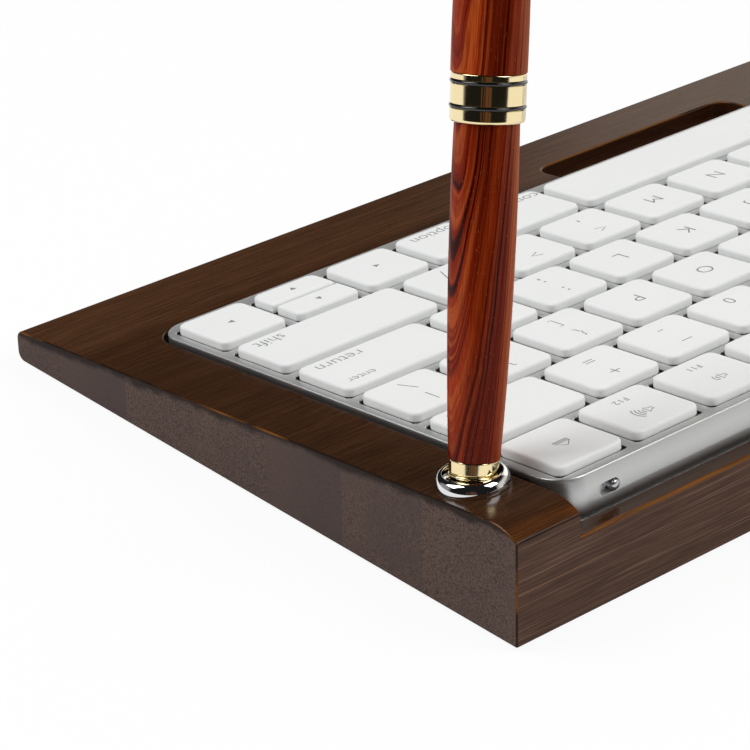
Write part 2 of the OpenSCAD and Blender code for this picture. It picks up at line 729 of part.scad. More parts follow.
// Metal of the pen in one piece: nose, collar, core, centre band, finial and pocket clip
module pen_fittings() {
    tip_d = 2.4;
    tip_l = 3;
    clip_w = 3.4;
    clip_t = 1;
    clip_gap = 0.6;
    clip_ball = 2.4;
    clip_x = upper_d / 2 + clip_gap;
    color("gold") on_pen() difference() {
        union() {
            translate([0, 0, -nose_l]) cylinder(d1 = tip_d, d2 = nose_d, h = tip_l);
            translate([0, 0, tip_l - nose_l]) cylinder(d = core_d, h = finial_z + nose_l - tip_l);
            translate([0, 0, shoulder_z]) cylinder(d = shoulder_d, h = shoulder_t);
            translate([0, 0, shoulder_z]) cylinder(d = collar_d, h = lower_z - shoulder_z);
            translate([0, 0, band_z]) cylinder(d = band_d, h = band_h);
            translate([0, 0, finial_z]) cylinder(d = upper_end_d, h = finial_l / 2);
            translate([0, 0, finial_z + finial_l / 2]) cylinder(d1 = upper_end_d, d2 = upper_end_d / 2, h = finial_l / 2);
            rotate([0, 0, clip_turn]) {
                translate([0, -clip_w / 2, finial_z]) cube([clip_x + clip_t, clip_w, finial_l / 3]);
                translate([clip_x, -clip_w / 2, finial_z + finial_l / 3 - clip_l]) cube([clip_t, clip_w, clip_l]);
                translate([clip_x + clip_t / 2, 0, finial_z + finial_l / 3 - clip_l + clip_ball / 2])
                    intersection() {
                        sphere(d = clip_ball);
                        translate([-clip_t / 2, -clip_w, -clip_ball]) cube([clip_ball, 2 * clip_w, 2 * clip_ball]);
                    }
            }
        }
        for (z = ring_zs) band_groove(z, fit_gap);
    }
}

module pen_band_rings() {
    color("black") on_pen() for (z = ring_zs) translate([0, 0, z]) rotate_extrude()
        translate([band_d / 2 - ring_t / 4, 0]) intersection() {
            circle(d = ring_t);
            translate([-ring_t / 4, -ring_t]) square(2 * ring_t);
        }
}

for (name = KEY_NODES) keys(name);
tray_body();
tray_feet();
pen_socket();
pen_barrels();
pen_fittings();
pen_band_rings();
top_case();
bottom_cover();
key_support_plate();
membrane_sheet();
rubber_domes();
scissor_links();
stabiliser_bars();
controller_board();
battery_cells();
battery_contacts();
battery_cap();
power_switch_knob();
keyboard_feet();
case_screws();
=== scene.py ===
# %% [markdown]
# # A slim keyboard in a wooden tray, with a pen in its socket
#
# The real thing is a desk set: a thin aluminium keyboard with white keys lies in a wedge of dark stained
# bamboo, and a turned wooden pen stands in a plated socket at the back right. The solids come from CAD and
# are already in place. This lesson dresses them: finer meshes where the eye lands, and a procedural finish
# on every surface. Everything is in metres, in the CAD frame: +X to the typist's right, +Y to the rear.

# %% Load the CAD frame
import json
import math
from collections import defaultdict

import bmesh
import bpy
from mathutils import Matrix, Vector

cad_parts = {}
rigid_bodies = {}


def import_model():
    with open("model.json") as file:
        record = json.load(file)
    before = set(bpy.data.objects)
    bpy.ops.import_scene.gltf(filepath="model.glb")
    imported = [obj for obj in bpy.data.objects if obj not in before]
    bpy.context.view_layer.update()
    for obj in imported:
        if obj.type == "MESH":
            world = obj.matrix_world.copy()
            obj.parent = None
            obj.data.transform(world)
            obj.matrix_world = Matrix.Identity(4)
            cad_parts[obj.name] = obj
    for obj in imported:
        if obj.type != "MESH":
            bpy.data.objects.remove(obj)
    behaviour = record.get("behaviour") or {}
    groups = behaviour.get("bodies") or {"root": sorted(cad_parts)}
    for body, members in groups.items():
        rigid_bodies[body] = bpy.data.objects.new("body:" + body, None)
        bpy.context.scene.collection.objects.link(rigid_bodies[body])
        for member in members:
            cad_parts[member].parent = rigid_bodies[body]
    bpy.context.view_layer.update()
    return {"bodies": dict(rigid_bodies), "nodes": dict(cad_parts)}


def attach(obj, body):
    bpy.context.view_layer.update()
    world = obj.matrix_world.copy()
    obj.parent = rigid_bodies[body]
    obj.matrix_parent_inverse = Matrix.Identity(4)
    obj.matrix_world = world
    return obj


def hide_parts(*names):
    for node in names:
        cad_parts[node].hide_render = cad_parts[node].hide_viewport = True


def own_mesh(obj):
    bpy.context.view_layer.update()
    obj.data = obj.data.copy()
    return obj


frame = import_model()
print("bodies:", len(frame["bodies"]), "nodes:", len(frame["nodes"]))

# %% [markdown]
# ## Camera
#
# The photograph was taken from behind the right end, looking down at about 27 degrees with a long lens. A
# camera could be aimed by eye with a Track To constraint, but its roll would then be a guess. Here the three
# directions of the picture (right, down, into it) were solved from the key grid, so they go straight into
# the camera's matrix: its columns are right, up and backwards.

# %% Camera
EYE = Vector((0.45079, 0.39322, 0.27882))
PICTURE_RIGHT = Vector((-0.7594, 0.65019, -0.02364))
PICTURE_DOWN = Vector((0.31484, 0.33544, -0.8879))
INTO_PICTURE = Vector((-0.56937, -0.68171, -0.45944))

scene = bpy.context.scene
lens = bpy.data.cameras.new("photo_camera")
lens.sensor_width = 36
lens.lens = 143.75
camera = bpy.data.objects.new("photo_camera", lens)
scene.collection.objects.link(camera)
turned = Matrix((PICTURE_RIGHT, -PICTURE_DOWN, -INTO_PICTURE)).transposed()
camera.matrix_world = Matrix.Translation(EYE) @ turned.to_4x4()
scene.camera = camera
scene.view_settings.view_transform = "Standard"
print("camera at", [round(c, 3) for c in EYE])

# %% [markdown]
# ## A small language for shaders
#
# Node trees can be wired by hand in the editor, or by long lists of links in code. Both are hard to read
# back. This class wraps one output socket, so that sums on sockets can be written as Python sums: each
# operator adds its own Math or Vector Math node. Every other node comes from the one method `node`.


# %% Sockets that can be added and multiplied
class Sock:
    """One output socket of a shader tree, for use in plain sums."""

    def __init__(self, socket):
        self.socket = socket

    def node(self, kind, settings=None, values=None, out=0):
        """Adds a node: its settings first, then the values or links of its sockets."""
        tree = self.socket.id_data
        made = tree.nodes.new("ShaderNode" + kind)
        for name, value in (settings or {}).items():
            setattr(made, name, value)
        for name, value in (values or {}).items():
            if isinstance(value, Sock):
                tree.links.new(value.socket, made.inputs[name])
            else:
                made.inputs[name].default_value = value
        return Sock(made.outputs[out])

    def sum(self, operation, a, b):
        """One sum: of numbers, or of vectors and colours part by part."""
        if self.socket.type != "VALUE":
            pair = [v if isinstance(v, (Sock, tuple)) else (v, v, v) for v in (a, b)]
            return self.node("VectorMath", {"operation": operation}, {0: pair[0], 1: pair[1]})
        return self.node("Math", {"operation": operation}, {0: a, 1: b})

    def __abs__(self):
        return self.node("Math", {"operation": "ABSOLUTE"}, {0: self})


for name, operation in (("add", "ADD"), ("sub", "SUBTRACT"), ("mul", "MULTIPLY")):
    setattr(Sock, f"__{name}__", lambda self, other, kind=operation: self.sum(kind, self, other))
    setattr(Sock, f"__r{name}__", lambda self, other, kind=operation: self.sum(kind, other, self))
print("sockets can be added, subtracted and multiplied")


# %% Shader helpers
def noise(place, detail=2, roughness=0.5):
    """Soft noise from 0 to 1; one bump is about one unit of place long."""
    values = {"Vector": place, "Scale": 1, "Detail": detail, "Roughness": roughness}
    return place.node("TexNoise", None, values)


def ranged(value, low, high, to_low=0, to_high=1):
    """Value from low to high, stretched smoothly to another range and held at its ends."""
    values = {"Value": value, 1: low, 2: high, 3: to_low, 4: to_high}
    return value.node("MapRange", {"interpolation_type": "SMOOTHSTEP"}, values)


def mixed(mask, a, b):
    """Colour a where mask is 0, and b where it is 1."""
    pair = [c if isinstance(c, Sock) else (*c, 1) for c in (a, b)]
    return mask.node("Mix", {"data_type": "RGBA"}, {0: mask, 6: pair[0], 7: pair[1]}, out=2)


def between(value, low, high, soft):
    """1 from low to high and 0 outside, with soft ends."""
    return ranged(value, low - soft, low) * ranged(value, high + soft, high)


def within(value, half, soft):
    """1 up to half a width on either side of 0, with soft ends."""
    return ranged(abs(value), half + soft, half)


def parts_of(place):
    """The three numbers of a vector."""
    return [place.node("SeparateXYZ", None, {0: place}, out=i) for i in range(3)]


def length_of(place):
    """How long a vector is."""
    return place.node("VectorMath", {"operation": "LENGTH"}, {0: place}, out="Value")


print("shader helpers ready")

# %% [markdown]
# ## Materials share one start
#
# Every finish starts from Principled BSDF. `Finish` makes the material, sets the numbers that are the same
# all over the surface, and offers the position on the piece in millimetres, because grain, pores and moulded
# texture are easiest to think of in millimetres. `done` takes what changes over the surface.


# %% The start of a finish
class Finish:
    """A material under construction."""

    def __init__(self, name, **uniform):
        self.material = bpy.data.materials.new(name)
        self.material.use_nodes = True
        self.shader = self.material.node_tree.nodes["Principled BSDF"]
        for socket, value in uniform.items():
            self.shader.inputs[socket.replace("_", " ")].default_value = value
        self.surface = Sock(self.shader.outputs[0])
        self.place = self.surface.node("TexCoord", out="Object") * 1000.0
        self.normal = self.surface.node("TexCoord", out="Normal")

    def set(self, socket, value):
        """Sends a value that changes over the surface to one of the shader's sockets."""
        self.material.node_tree.links.new(value.socket, self.shader.inputs[socket])

    def done(self, colour, roughness, height=None, depth_mm=0.0, strength=0.5):
        """Sends colour, roughness and perhaps a height from 0 to 1, and gives the material."""
        self.set("Base Color", colour)
        self.set("Roughness", roughness)
        if height:
            values = {"Height": height, "Distance": depth_mm / 1000, "Strength": strength}
            self.set("Normal", height.node("Bump", None, values))
        return self.material


print("finish class ready")

# %% [markdown]
# ## Stained bamboo
#
# The tray is glued up from bamboo strips 22 mm wide that run from end to end, stained almost black and
# lacquered. Four things make it read as that: fine pale streaks along the strips, pebbled end grain on the
# two short ends, stain that has pooled along the upper edge of those ends, and arrises where it has rubbed
# through to orange. A wave texture would look too regular, so the streaks are noise stretched along X. The
# pebbles are a Voronoi pattern, shown where the surface faces along X. The worn arrises use a mesh attribute
# that is written when the edges are rounded. Only the lacquer shines, so it is the Coat layer, and the wood
# below has no gloss of its own. The sizes are in millimetres and follow the tray, which is built further on.
# Some light is painted into the colour too: a sheen on the front rail, a warm highlight on the rear rounding
# and shade along every arris.

# %% Sizes and streaks of the bamboo
STRIP, FIRST_STRIP = 22.0, -81.3
TOP_SLOPE, TOP_HEIGHT = math.tan(math.radians(6.36)), 15.72
POCKET_X, POCKET_Y0, POCKET_Y1, POCKET_Z0, POCKET_Z1 = 139.9, -59.5, 70.9, 5.5, 40.0
NOTCH_MIDDLE, NOTCH_HALF, NOTCH_EDGE_Y = -5.0, 33.0, -48.0
LIP_BAND_Z0, LIP_BAND_Z1, LIP_BAND_X = 16.5, 17.1, 139.0
# The second colour on the next line is painted shade for the arrises.
ORANGE_WOOD, ARRIS_SHADE = (0.21, 0.076, 0.0125), (0.011, 0.0055, 0.0035)
POOLED_STAIN = (0.014, 0.01, 0.009)


def streaks(place):
    """Fine grain along X, from 0 to 1, and its thinnest lines."""
    broad = noise(place * (0.012, 0.3, 0.3), 2, 0.5)
    fine = noise(place * (0.075, 3.0, 3.0), 3, 0.65)
    hair = noise(place * (0.1, 7.5, 7.5), 2, 0.6)
    return ranged(broad * 0.14 + fine * 0.42 + hair * 0.44, 0.37, 0.63), hair


print("strips are", STRIP, "mm wide")


# %% End grain
def end_grain(place, tone, across, below_top):
    """Colour of the short ends, with stain pooled at their upper edge, and the height of the pebbles."""
    values = {"Vector": place * (0.2, 2.8, 2.8), "Scale": 1.0, "Smoothness": 0.35}
    pebble = place.node("TexVoronoi", {"feature": "SMOOTH_F1"}, values)
    cloud = noise(place * (0.3, 0.1, 0.14), 3, 0.6)
    rough = ranged(tone + (cloud - 0.5) * 1.1, 0.2, 0.85)
    end = mixed(rough, (0.0703, 0.05, 0.0475), (0.0826, 0.0562, 0.0492))
    end = mixed(ranged(across, 0.75, 0.05) * 0.45, end, (0.1019, 0.0667, 0.0528))
    dots = ranged(pebble, 0.52, 0.2) * (0.25 + rough * 0.75)
    end = mixed(dots * 0.55, end, (0.1582, 0.101, 0.0719))
    end = mixed(ranged(pebble, 0.55, 0.8) * (0.2 + rough * 0.6) * 0.75, end, (0.0403, 0.028, 0.0255))
    pooled = ranged(below_top + (cloud - 0.5) * 4.0, 2.0, 0.4)
    return mixed(pooled * 0.85, end, POOLED_STAIN), ranged(pebble, 0.6, 0.1) * rough


print("end grain ready")


# %% Rubbed arrises
def shade_and_wear_on_arrises(wood, colour, hair):
    """Darkens the arrises with painted shade and shows orange wood where they are worn, most of all at the
    notch and the lip.
    """
    x, y, z = parts_of(wood.place)
    arris = wood.place.node("Attribute", {"attribute_name": "arris"}, None, out="Fac")
    rear = ranged(y, 60.0, 72.0)
    inner = within(x - NOTCH_MIDDLE, NOTCH_HALF, 2.0) * ranged(y, NOTCH_EDGE_Y, NOTCH_EDGE_Y - 2.0)
    right = ranged(x, 140.0, 152.0) * between(y, -50.0, 20.0, 12.0)
    worn = noise(wood.place * (0.03, 0.06, 0.15), 2, 0.6) + hair * 0.16 + rear * 0.13 + inner * 0.22
    worn = worn + right * 0.04 - ranged(parts_of(wood.normal)[2], 0.3, 0.0) * 0.12
    patches = noise(wood.place * (0.02, 0.5, 0.5), 2, 0.6) + hair * 0.25
    lip = between(z, LIP_BAND_Z0, LIP_BAND_Z1, 0.3) * within(x, LIP_BAND_X, 0.5) * ranged(y, 74.0, 74.6)
    # Painted shade: every arris is darkened before the worn orange is laid on.
    colour = mixed(arris * 0.85, colour, ARRIS_SHADE)
    colour = mixed(lip * ranged(patches, 0.52, 0.8) * 0.6, colour, ORANGE_WOOD)
    return mixed(arris * ranged(worn, 0.62, 0.78) * 0.85, colour, ORANGE_WOOD)


print("worn wood is", ORANGE_WOOD)


# %% Stained bamboo
def stained_bamboo():
    wood = Finish("stained_bamboo", Coat_Roughness=0.18, Coat_IOR=1.45, Specular_IOR_Level=0.0)
    x, y, z = parts_of(wood.place)
    nx, ny, nz = parts_of(wood.normal)
    ends, top = ranged(abs(nx), 0.55, 0.85), ranged(nz, 0.25, 0.75)
    along = (y - FIRST_STRIP) * (1 / STRIP)
    strip = along.node("Math", {"operation": "FLOOR"}, {0: along})
    across = along - strip
    tone = strip.node("TexWhiteNoise", {"noise_dimensions": "1D"}, {"W": strip})
    drift = wood.place + strip.node("CombineXYZ", None, {0: strip * 37.0, 1: 0.0, 2: 0.0})
    streak, hair = streaks(drift)
    fleck = ranged(noise(drift * (0.04, 6.5, 6.5), 1, 0.4), 0.6, 0.72)

    side = mixed(streak, (0.048, 0.0264, 0.0192), (0.1056, 0.0584, 0.04))
    side = mixed(fleck * 0.7, side, (0.2, 0.116, 0.0744))
    upper = mixed(streak, (0.024, 0.0094, 0.004), (0.06, 0.025, 0.0104))
    upper = mixed(fleck * 0.35, upper, (0.125, 0.056, 0.019))
    upper = mixed(tone * 0.3, upper, (0.032, 0.0135, 0.006))
    # Painted sheen: the front rail's top is made lighter and greyer, standing in for the lacquer's reflection
    # at a grazing angle.
    upper = mixed(ranged(y, -50.0, -56.0) * 0.45, upper, upper * (2.0, 2.1, 2.3))
    colour = mixed(top, side, upper)
    # Partly thin stain and partly a painted warm highlight: the top's rear rounding turns orange-brown.
    thin_stain_and_sheen = ranged(ny, 0.1, 0.45) * ranged(nz, 0.05, 0.3) * ranged(y, 50.0, 64.0)
    colour = mixed(thin_stain_and_sheen * ranged(streak + hair * 0.4, 0.35, 0.95) * 0.65, colour, (0.12, 0.036, 0.0065))

    below_top = y * TOP_SLOPE + TOP_HEIGHT - z
    end, pebbles = end_grain(wood.place, tone, across, below_top)
    colour = mixed(ends, colour, end)
    pocket = within(x, POCKET_X, 0.05) * between(y, POCKET_Y0, POCKET_Y1, 0.1)
    pocket = pocket * between(z, POCKET_Z0, POCKET_Z1, 0.2) * ranged(below_top, 0.3, 0.6)
    colour = mixed(pocket, colour, mixed(streak, (0.018, 0.0055, 0.002), (0.052, 0.017, 0.0055)))

    lip = within(x, POCKET_X, 0.2) * ranged(y, 70.8, 71.2)
    wood.set("Coat Weight", 0.14 + top * (0.4 - lip * 0.22) + pocket * 0.5)
    height = streak * 0.5 * (1 - ends) + pebbles * ends
    return wood.done(shade_and_wear_on_arrises(wood, colour, hair), 0.5 + hair * 0.12, height, 0.05)


BAMBOO = stained_bamboo()
print("made", BAMBOO.name)

# %% [markdown]
# ## Rosewood
#
# The pen's barrels are turned from a red tropical wood with dark lines, then polished under a thick clear
# coat. Stretched noise alone gives flames that real wood doesn't have. The lines are growth rings, so here
# they are drawn as rings: they depend on the distance from a far axis, the old middle of the tree. Where the
# tapering barrel cuts them flat they close into narrow arches, as on a real pen blank.

# %% Rosewood
RING_AXIS, RING_LEAN = (9.0, -10.7), 0.06


def rosewood():
    wood = Finish("rosewood", Coat_Weight=0.22, Coat_Roughness=0.12, Coat_IOR=1.4, Specular_IOR_Level=0.0)
    place = wood.place.node("Attribute", {"attribute_name": "own_place"}, None, out="Vector")
    x, y, z = parts_of(place)
    wave = noise(place * (0.1, 0.1, 0.03), 2, 0.5)
    from_axis = x.node("CombineXYZ", None, {0: x - RING_AXIS[0], 1: y - RING_AXIS[1], 2: 0.0})
    far = length_of(from_axis)
    ring = far + z * RING_LEAN + wave * 1.6
    rings = ring.node("CombineXYZ", None, {0: ring, 1: z * 0.004, 2: 0.0})
    band = noise(rings * (0.9, 1.0, 1.0), 2, 0.5)
    line = noise(rings * (3.0, 1.5, 1.0), 2, 0.65)
    fibre = noise(place * (5.5, 5.5, 0.16), 2, 0.6)
    pore = noise(place * (6.0, 6.0, 1.2), 1, 0.5)
    red = mixed(ranged(band, 0.36, 0.64), (0.088, 0.0048, 0.0008), (0.175, 0.017, 0.0025))
    tan = ranged(far, 17.6, 19.4) * ranged(line, 0.48, 0.6)
    red = mixed(tan * 0.6, red, (0.22, 0.05, 0.01))
    red = mixed(ranged(line, 0.52, 0.64) * 0.45, red, (0.22, 0.034, 0.006))
    red = mixed(ranged(fibre, 0.56, 0.3) * 0.55, red, (0.0396, 0.004, 0.0011))
    dark = ranged(line, 0.47, 0.38) * ranged(band, 0.64, 0.44)
    colour = mixed(dark * 0.95, red, (0.0106, 0.0017, 0.0008))
    # Painted light: both flanks of the barrel, near the ring axis and far from it, are made lighter, as light
    # from the sides would make them.
    painted_light_near_flank = ranged(far, 14.5, 11.5)
    colour = mixed(painted_light_near_flank * 0.4, colour, (0.15, 0.05, 0.015))
    colour = colour * (1 + painted_light_near_flank * 1.1 + ranged(far, 17.6, 19.6) * 0.9)
    colour = mixed(ranged(pore, 0.7, 0.78) * 0.6, colour, (0.2772, 0.1122, 0.0495))
    return wood.done(colour, 0.4 + line * 0.2, line * 0.7 + pore * 0.3, 0.01, 0.4)


ROSEWOOD = rosewood()
print("made", ROSEWOOD.name)

# %% [markdown]
# ## Key plastic and its ink
#
# The caps are moulded from white ABS with a fine eroded texture that takes the shine off the tops. A flat
# white would look like paper, so the colour has a very small drift, and a tiny bump stands for the texture.
# The marks are printed in grey ink, a little uneven at the edge of a pad print.

# %% Key plastic and ink
def key_plastic():
    white = Finish("key_plastic", IOR=1.5, Specular_IOR_Level=0.35)
    drift = noise(white.place * 0.05, 2, 0.5)
    grain = noise(white.place * 9.0, 2, 0.6)
    colour = mixed(drift, (0.79, 0.805, 0.8), (0.825, 0.838, 0.832))
    return white.done(colour, 0.5 + grain * 0.1, grain, 0.006, 0.6)


def key_ink():
    ink = Finish("key_ink", IOR=1.45)
    patch = noise(ink.place * 4.0, 2, 0.5)
    return ink.done(mixed(patch, (0.19, 0.193, 0.2), (0.25, 0.253, 0.26)), 0.5 + patch * 0.2)


KEY_WHITE = key_plastic()
KEY_INK = key_ink()
print("made", KEY_WHITE.name, KEY_INK.name)

# %% [markdown]
# ## Metals
#
# The case is bead-blasted, anodised aluminium: a satin metal whose blasting shows as very fine grain. The
# socket is chromed and the pen's fittings are gold plated, both polished, so nearly all of their look is
# reflection and the material adds only faint polishing haze. Small hidden parts are plain bright steel. One
# function with a few numbers makes them all. Its last number is for the blasted deck, which scatters light
# like chalk, while its cut sides stay bright metal.

# %% Metals
def metal(name, dark, light, roughness, spread, grain_mm, depth_mm, stretch=(1.0, 1.0, 1.0), chalk=0.0):
    """Metal with fine grain: two colours, a roughness that spreads with it, and how chalky flat faces are."""
    made = Finish(name, Metallic=1.0)
    if chalk:
        made.set("Metallic", ranged(parts_of(made.normal)[2], 0.7, 0.97, 1.0, 1 - chalk))
    scale = tuple(s / grain_mm for s in stretch)
    grain = noise(made.place * scale, 3, 0.6)
    haze = noise(made.place * 0.12, 2, 0.5)
    uneven = (roughness - spread / 2) + (grain * 0.6 + haze * 0.4) * spread
    return made.done(mixed(haze * 0.5 + grain * 0.5, dark, light), uneven, grain, depth_mm)


ALUMINIUM = metal("blasted_aluminium", (0.6, 0.61, 0.605), (0.7, 0.71, 0.7), 0.42, 0.08, 0.12, 0.006,
                  chalk=0.31)
CHROME = metal("chrome", (0.7, 0.71, 0.72), (0.8, 0.81, 0.82), 0.06, 0.04, 0.6, 0.0006)
GOLD = metal("gold_plate", (0.86, 0.7, 0.38), (0.93, 0.8, 0.5), 0.07, 0.05, 0.6, 0.0006)
STEEL = metal("bright_steel", (0.5, 0.51, 0.53), (0.62, 0.63, 0.65), 0.28, 0.16, 0.25, 0.002, (0.1, 1, 1))
print("made", [m.name for m in (ALUMINIUM, CHROME, GOLD, STEEL)])

# %% [markdown]
# ## Rubbers, films and moulded parts
#
# The rest is seen only when the keyboard is lifted or the tray is turned over: feet, the moulded underside,
# the film with its printed tracks, silicone domes, the green board and the two cells. They still get their
# own colour, sheen and texture, from one helper for moulded stuff and three special cases. The black rings on
# the pen are made here too.

# %% Moulded parts
def moulded(name, dark, light, roughness, grain_mm, depth_mm, **uniform):
    """Plastic or rubber: a colour that drifts, and the texture of its mould."""
    made = Finish(name, **uniform)
    grain = noise(made.place * (1 / grain_mm), 3, 0.6)
    drift = noise(made.place * 0.08, 2, 0.5)
    colour = mixed(drift * 0.6 + grain * 0.4, dark, light)
    return made.done(colour, roughness + (grain - 0.5) * 0.2, grain, depth_mm, 0.6)


COVER_WHITE = moulded("cover_plastic", (0.7, 0.7, 0.69), (0.8, 0.8, 0.79), 0.5, 0.35, 0.015)
LINK_WHITE = moulded("link_plastic", (0.66, 0.66, 0.62), (0.78, 0.78, 0.74), 0.4, 0.5, 0.004)
FOOT_BLACK = moulded("foot_rubber", (0.012, 0.012, 0.012), (0.03, 0.03, 0.03), 0.75, 0.3, 0.03)
PAD_GREY = moulded("pad_rubber", (0.17, 0.17, 0.17), (0.27, 0.27, 0.27), 0.75, 0.4, 0.02)
DOME_GREY = moulded("dome_silicone", (0.48, 0.48, 0.46), (0.62, 0.62, 0.6), 0.45, 0.6, 0.004)
RING_BLACK = moulded("ring_enamel", (0.003, 0.003, 0.003), (0.007, 0.007, 0.007), 0.06, 0.5, 0.0005, IOR=1.6)
print("made moulded finishes")


# %% Film, board and cells
FIRST_CELL, CELL_L = -138.0, 44.5


def track_film():
    film = Finish("track_film", IOR=1.5)
    values = {"Vector": film.place, "Scale": 0.12, "Distortion": 3.0}
    wave = film.place.node("TexWave", {"bands_direction": "Y"}, values)
    track = ranged(wave, 0.82, 0.9)
    colour = mixed(track, (0.018, 0.02, 0.022), (0.085, 0.09, 0.092))
    return film.done(colour, 0.18 + track * 0.3, track, 0.01)


def circuit_green():
    board = Finish("circuit_board", IOR=1.5)
    values = {"Vector": board.place * 0.5, "Scale": 1.0}
    cells = board.place.node("TexVoronoi", {"distance": "CHEBYCHEV"}, values)
    pad = ranged(cells, 0.16, 0.13) * ranged(parts_of(board.normal)[2], 0.9, 0.95)
    switch = ranged(parts_of(board.place)[1], 64.5, 65.0)
    green = mixed(pad, (0.018, 0.11, 0.04), (0.55, 0.5, 0.36))
    board.set("Metallic", pad)
    return board.done(mixed(switch, green, (0.8, 0.8, 0.79)), 0.35 + noise(board.place * 2.0) * 0.2)


def cell_jacket():
    jacket = Finish("cell_jacket", IOR=1.5)
    from_first = parts_of(jacket.place)[0] - FIRST_CELL
    along = from_first.node("Math", {"operation": "MODULO"}, {0: from_first, 1: CELL_L})
    band = ranged(along, 27.0, 27.4)
    scuff = noise(jacket.place * (0.3, 2.0, 2.0), 3, 0.6)
    colour = mixed(band, (0.018, 0.018, 0.02), (0.52, 0.27, 0.1))
    jacket.set("Metallic", band * 0.9)
    colour = mixed(ranged(scuff, 0.62, 0.8) * 0.3, colour, (0.5, 0.48, 0.45))
    return jacket.done(colour, 0.22 + scuff * 0.15)


FILM, BOARD, JACKET = track_film(), circuit_green(), cell_jacket()
print("made", FILM.name, BOARD.name, JACKET.name)

# %% [markdown]
# ## Three frames to build in
#
# The keyboard lies on a slope and the pen leans, so it is easier to model each of them upright, in its own
# frame, and tilt it afterwards. The deck's frame starts at the left-to-right middle of the front row, on the
# deck. The pen's frame starts where its axis meets the wood, and the socket's flange lies on the slope there.
# These numbers repeat the CAD's.

# %% Frames
MM = 0.001
TILT = math.radians(6.36)
DECK_O = Vector((0.0, -44.501, 11.5633)) * MM
PEN_O = Vector((146.6875, 55.001, 21.849)) * MM
PEN_LEAN, PEN_LEAN_DIR = math.radians(15.5), math.radians(218)

SLOPE = Matrix.Rotation(TILT, 4, "X")
DECK = Matrix.Translation(DECK_O) @ SLOPE
PEN = Matrix.Translation(PEN_O) @ Matrix.Rotation(PEN_LEAN_DIR, 4, "Z") @ Matrix.Rotation(PEN_LEAN, 4, "Y")
FLANGE = Matrix.Translation(PEN_O) @ SLOPE
print("deck at", [round(c, 4) for c in DECK_O], "pen at", [round(c, 4) for c in PEN_O])

# %% [markdown]
# ## Tools for meshes
#
# Most pieces here are lofts: a stack of closed loops joined by quads. A turned part is a loft whose loops are
# circles, and a key cap one whose loops are rounded rectangles. Coordinates are in millimetres while we build
# and become metres when the mesh is finished. `piece` then does what each new object needs: its place, the
# body it rides on and the CAD node that it stands for. A leaning object's bounding box would reach
# past the CAD's, so the pen's meshes are turned for good, and their own places are kept for the grain.


# %% Loops and lofts
def arc(cx, cy, r, start, end, steps=8):
    """Points of an arc, with its angles in degrees."""
    turns = [math.radians(start + (end - start) * i / steps) for i in range(steps + 1)]
    return [(cx + r * math.cos(a), cy + r * math.sin(a)) for a in turns]


def rounded_loop(x0, y0, x1, y1, r, z, steps=6, front_r=None):
    """A rounded rectangle at height z, as points in order; the corners at y0 can have their own radius."""
    f = r if front_r is None else front_r
    corners = [(x1 - r, y1 - r, r, 0), (x0 + r, y1 - r, r, 90),
               (x0 + f, y0 + f, f, 180), (x1 - f, y0 + f, f, 270)]
    arcs = [arc(cx, cy, radius, start, start + 90, steps) for cx, cy, radius, start in corners]
    return [(x, y, z) for points in arcs for x, y in points]


def circle_loop(r, z, steps):
    """A circle of radius r at height z."""
    turns = [2 * math.pi * i / steps for i in range(steps)]
    return [(r * math.cos(a), r * math.sin(a), z) for a in turns]


def loft(bm, loops, first=True, last=True, ring=False):
    """Joins loops by quads; first and last close the ends, ring joins the last loop to the first."""
    rows = [[bm.verts.new(p) for p in loop] for loop in loops]
    pairs = list(zip(rows, rows[1:])) + ([(rows[-1], rows[0])] if ring else [])
    for low, high in pairs:
        count = len(low)
        for i in range(count):
            j = (i + 1) % count
            bm.faces.new((low[i], low[j], high[j], high[i]))
    if first and not ring:
        bm.faces.new(rows[0][::-1])
    if last and not ring:
        bm.faces.new(rows[-1])
    return rows


print("lofts ready")


# %% Meshes and pieces
def finished(bm, name, materials, sharp_deg=35):
    """Turns a bmesh in millimetres into a smooth-shaded mesh in metres."""
    bmesh.ops.recalc_face_normals(bm, faces=bm.faces)
    bmesh.ops.scale(bm, vec=(MM, MM, MM), verts=bm.verts)
    mesh = bpy.data.meshes.new(name)
    bm.to_mesh(mesh)
    bm.free()
    for material in materials:
        mesh.materials.append(material)
    mesh.shade_smooth()
    mesh.set_sharp_from_angle(angle=math.radians(sharp_deg))
    return mesh


def stand(mesh, matrix):
    """Turns a leaning mesh into the common frame, and keeps its own places as an attribute for its grain."""
    own = mesh.attributes.new("own_place", "FLOAT_VECTOR", "POINT")
    for vertex, value in zip(mesh.vertices, own.data):
        value.vector = vertex.co / MM
    mesh.transform(matrix)


def piece(mesh, body, matrix, slot, *nodes):
    """A mesh as an object in its place, riding on a body and standing for CAD nodes."""
    made = bpy.data.objects.new(mesh.name, mesh)
    scene.collection.objects.link(made)
    if body == "pen":
        stand(mesh, matrix)
    else:
        made.matrix_world = matrix
    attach(made, body)
    if nodes:
        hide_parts(*nodes)
    return made


print("pieces ready")

# %% [markdown]
# ## Key caps and their marks
#
# A cap is a shallow hollow box with a 2 mm corner and a soft edge round its top. A cube with a Bevel modifier
# would do for one cap, but there are 78 in six widths, and the marks have to sit exactly on them, so each cap
# is lofted from its own size. The loops run from the ceiling inside, down to the rim, up the wall and over
# the edge. The two halves of the arrow key are nearly square where they meet. Each CAD key node becomes one
# object that holds its caps and, in a second material, its marks.

# %% Key sizes
PITCH, KEY_GAP, KEY_RISE, KEY_SKIRT, KEY_CORNER = 19.05, 2.85, 1.7, 0.3, 2.0
CAP_EDGE, CAP_TOP, CAP_WALL, CAP_RIM, SPLIT_GAP = 0.62, 1.0, 1.2, 0.15, 1.0
KEY = PITCH - KEY_GAP
HALF_KEY, SPLIT_CORNER, LEAST_CORNER = (KEY - SPLIT_GAP) / 2, 0.5, 0.25
FIELD_W = 14.5 * PITCH - KEY_GAP
EDGE_STEPS = 5


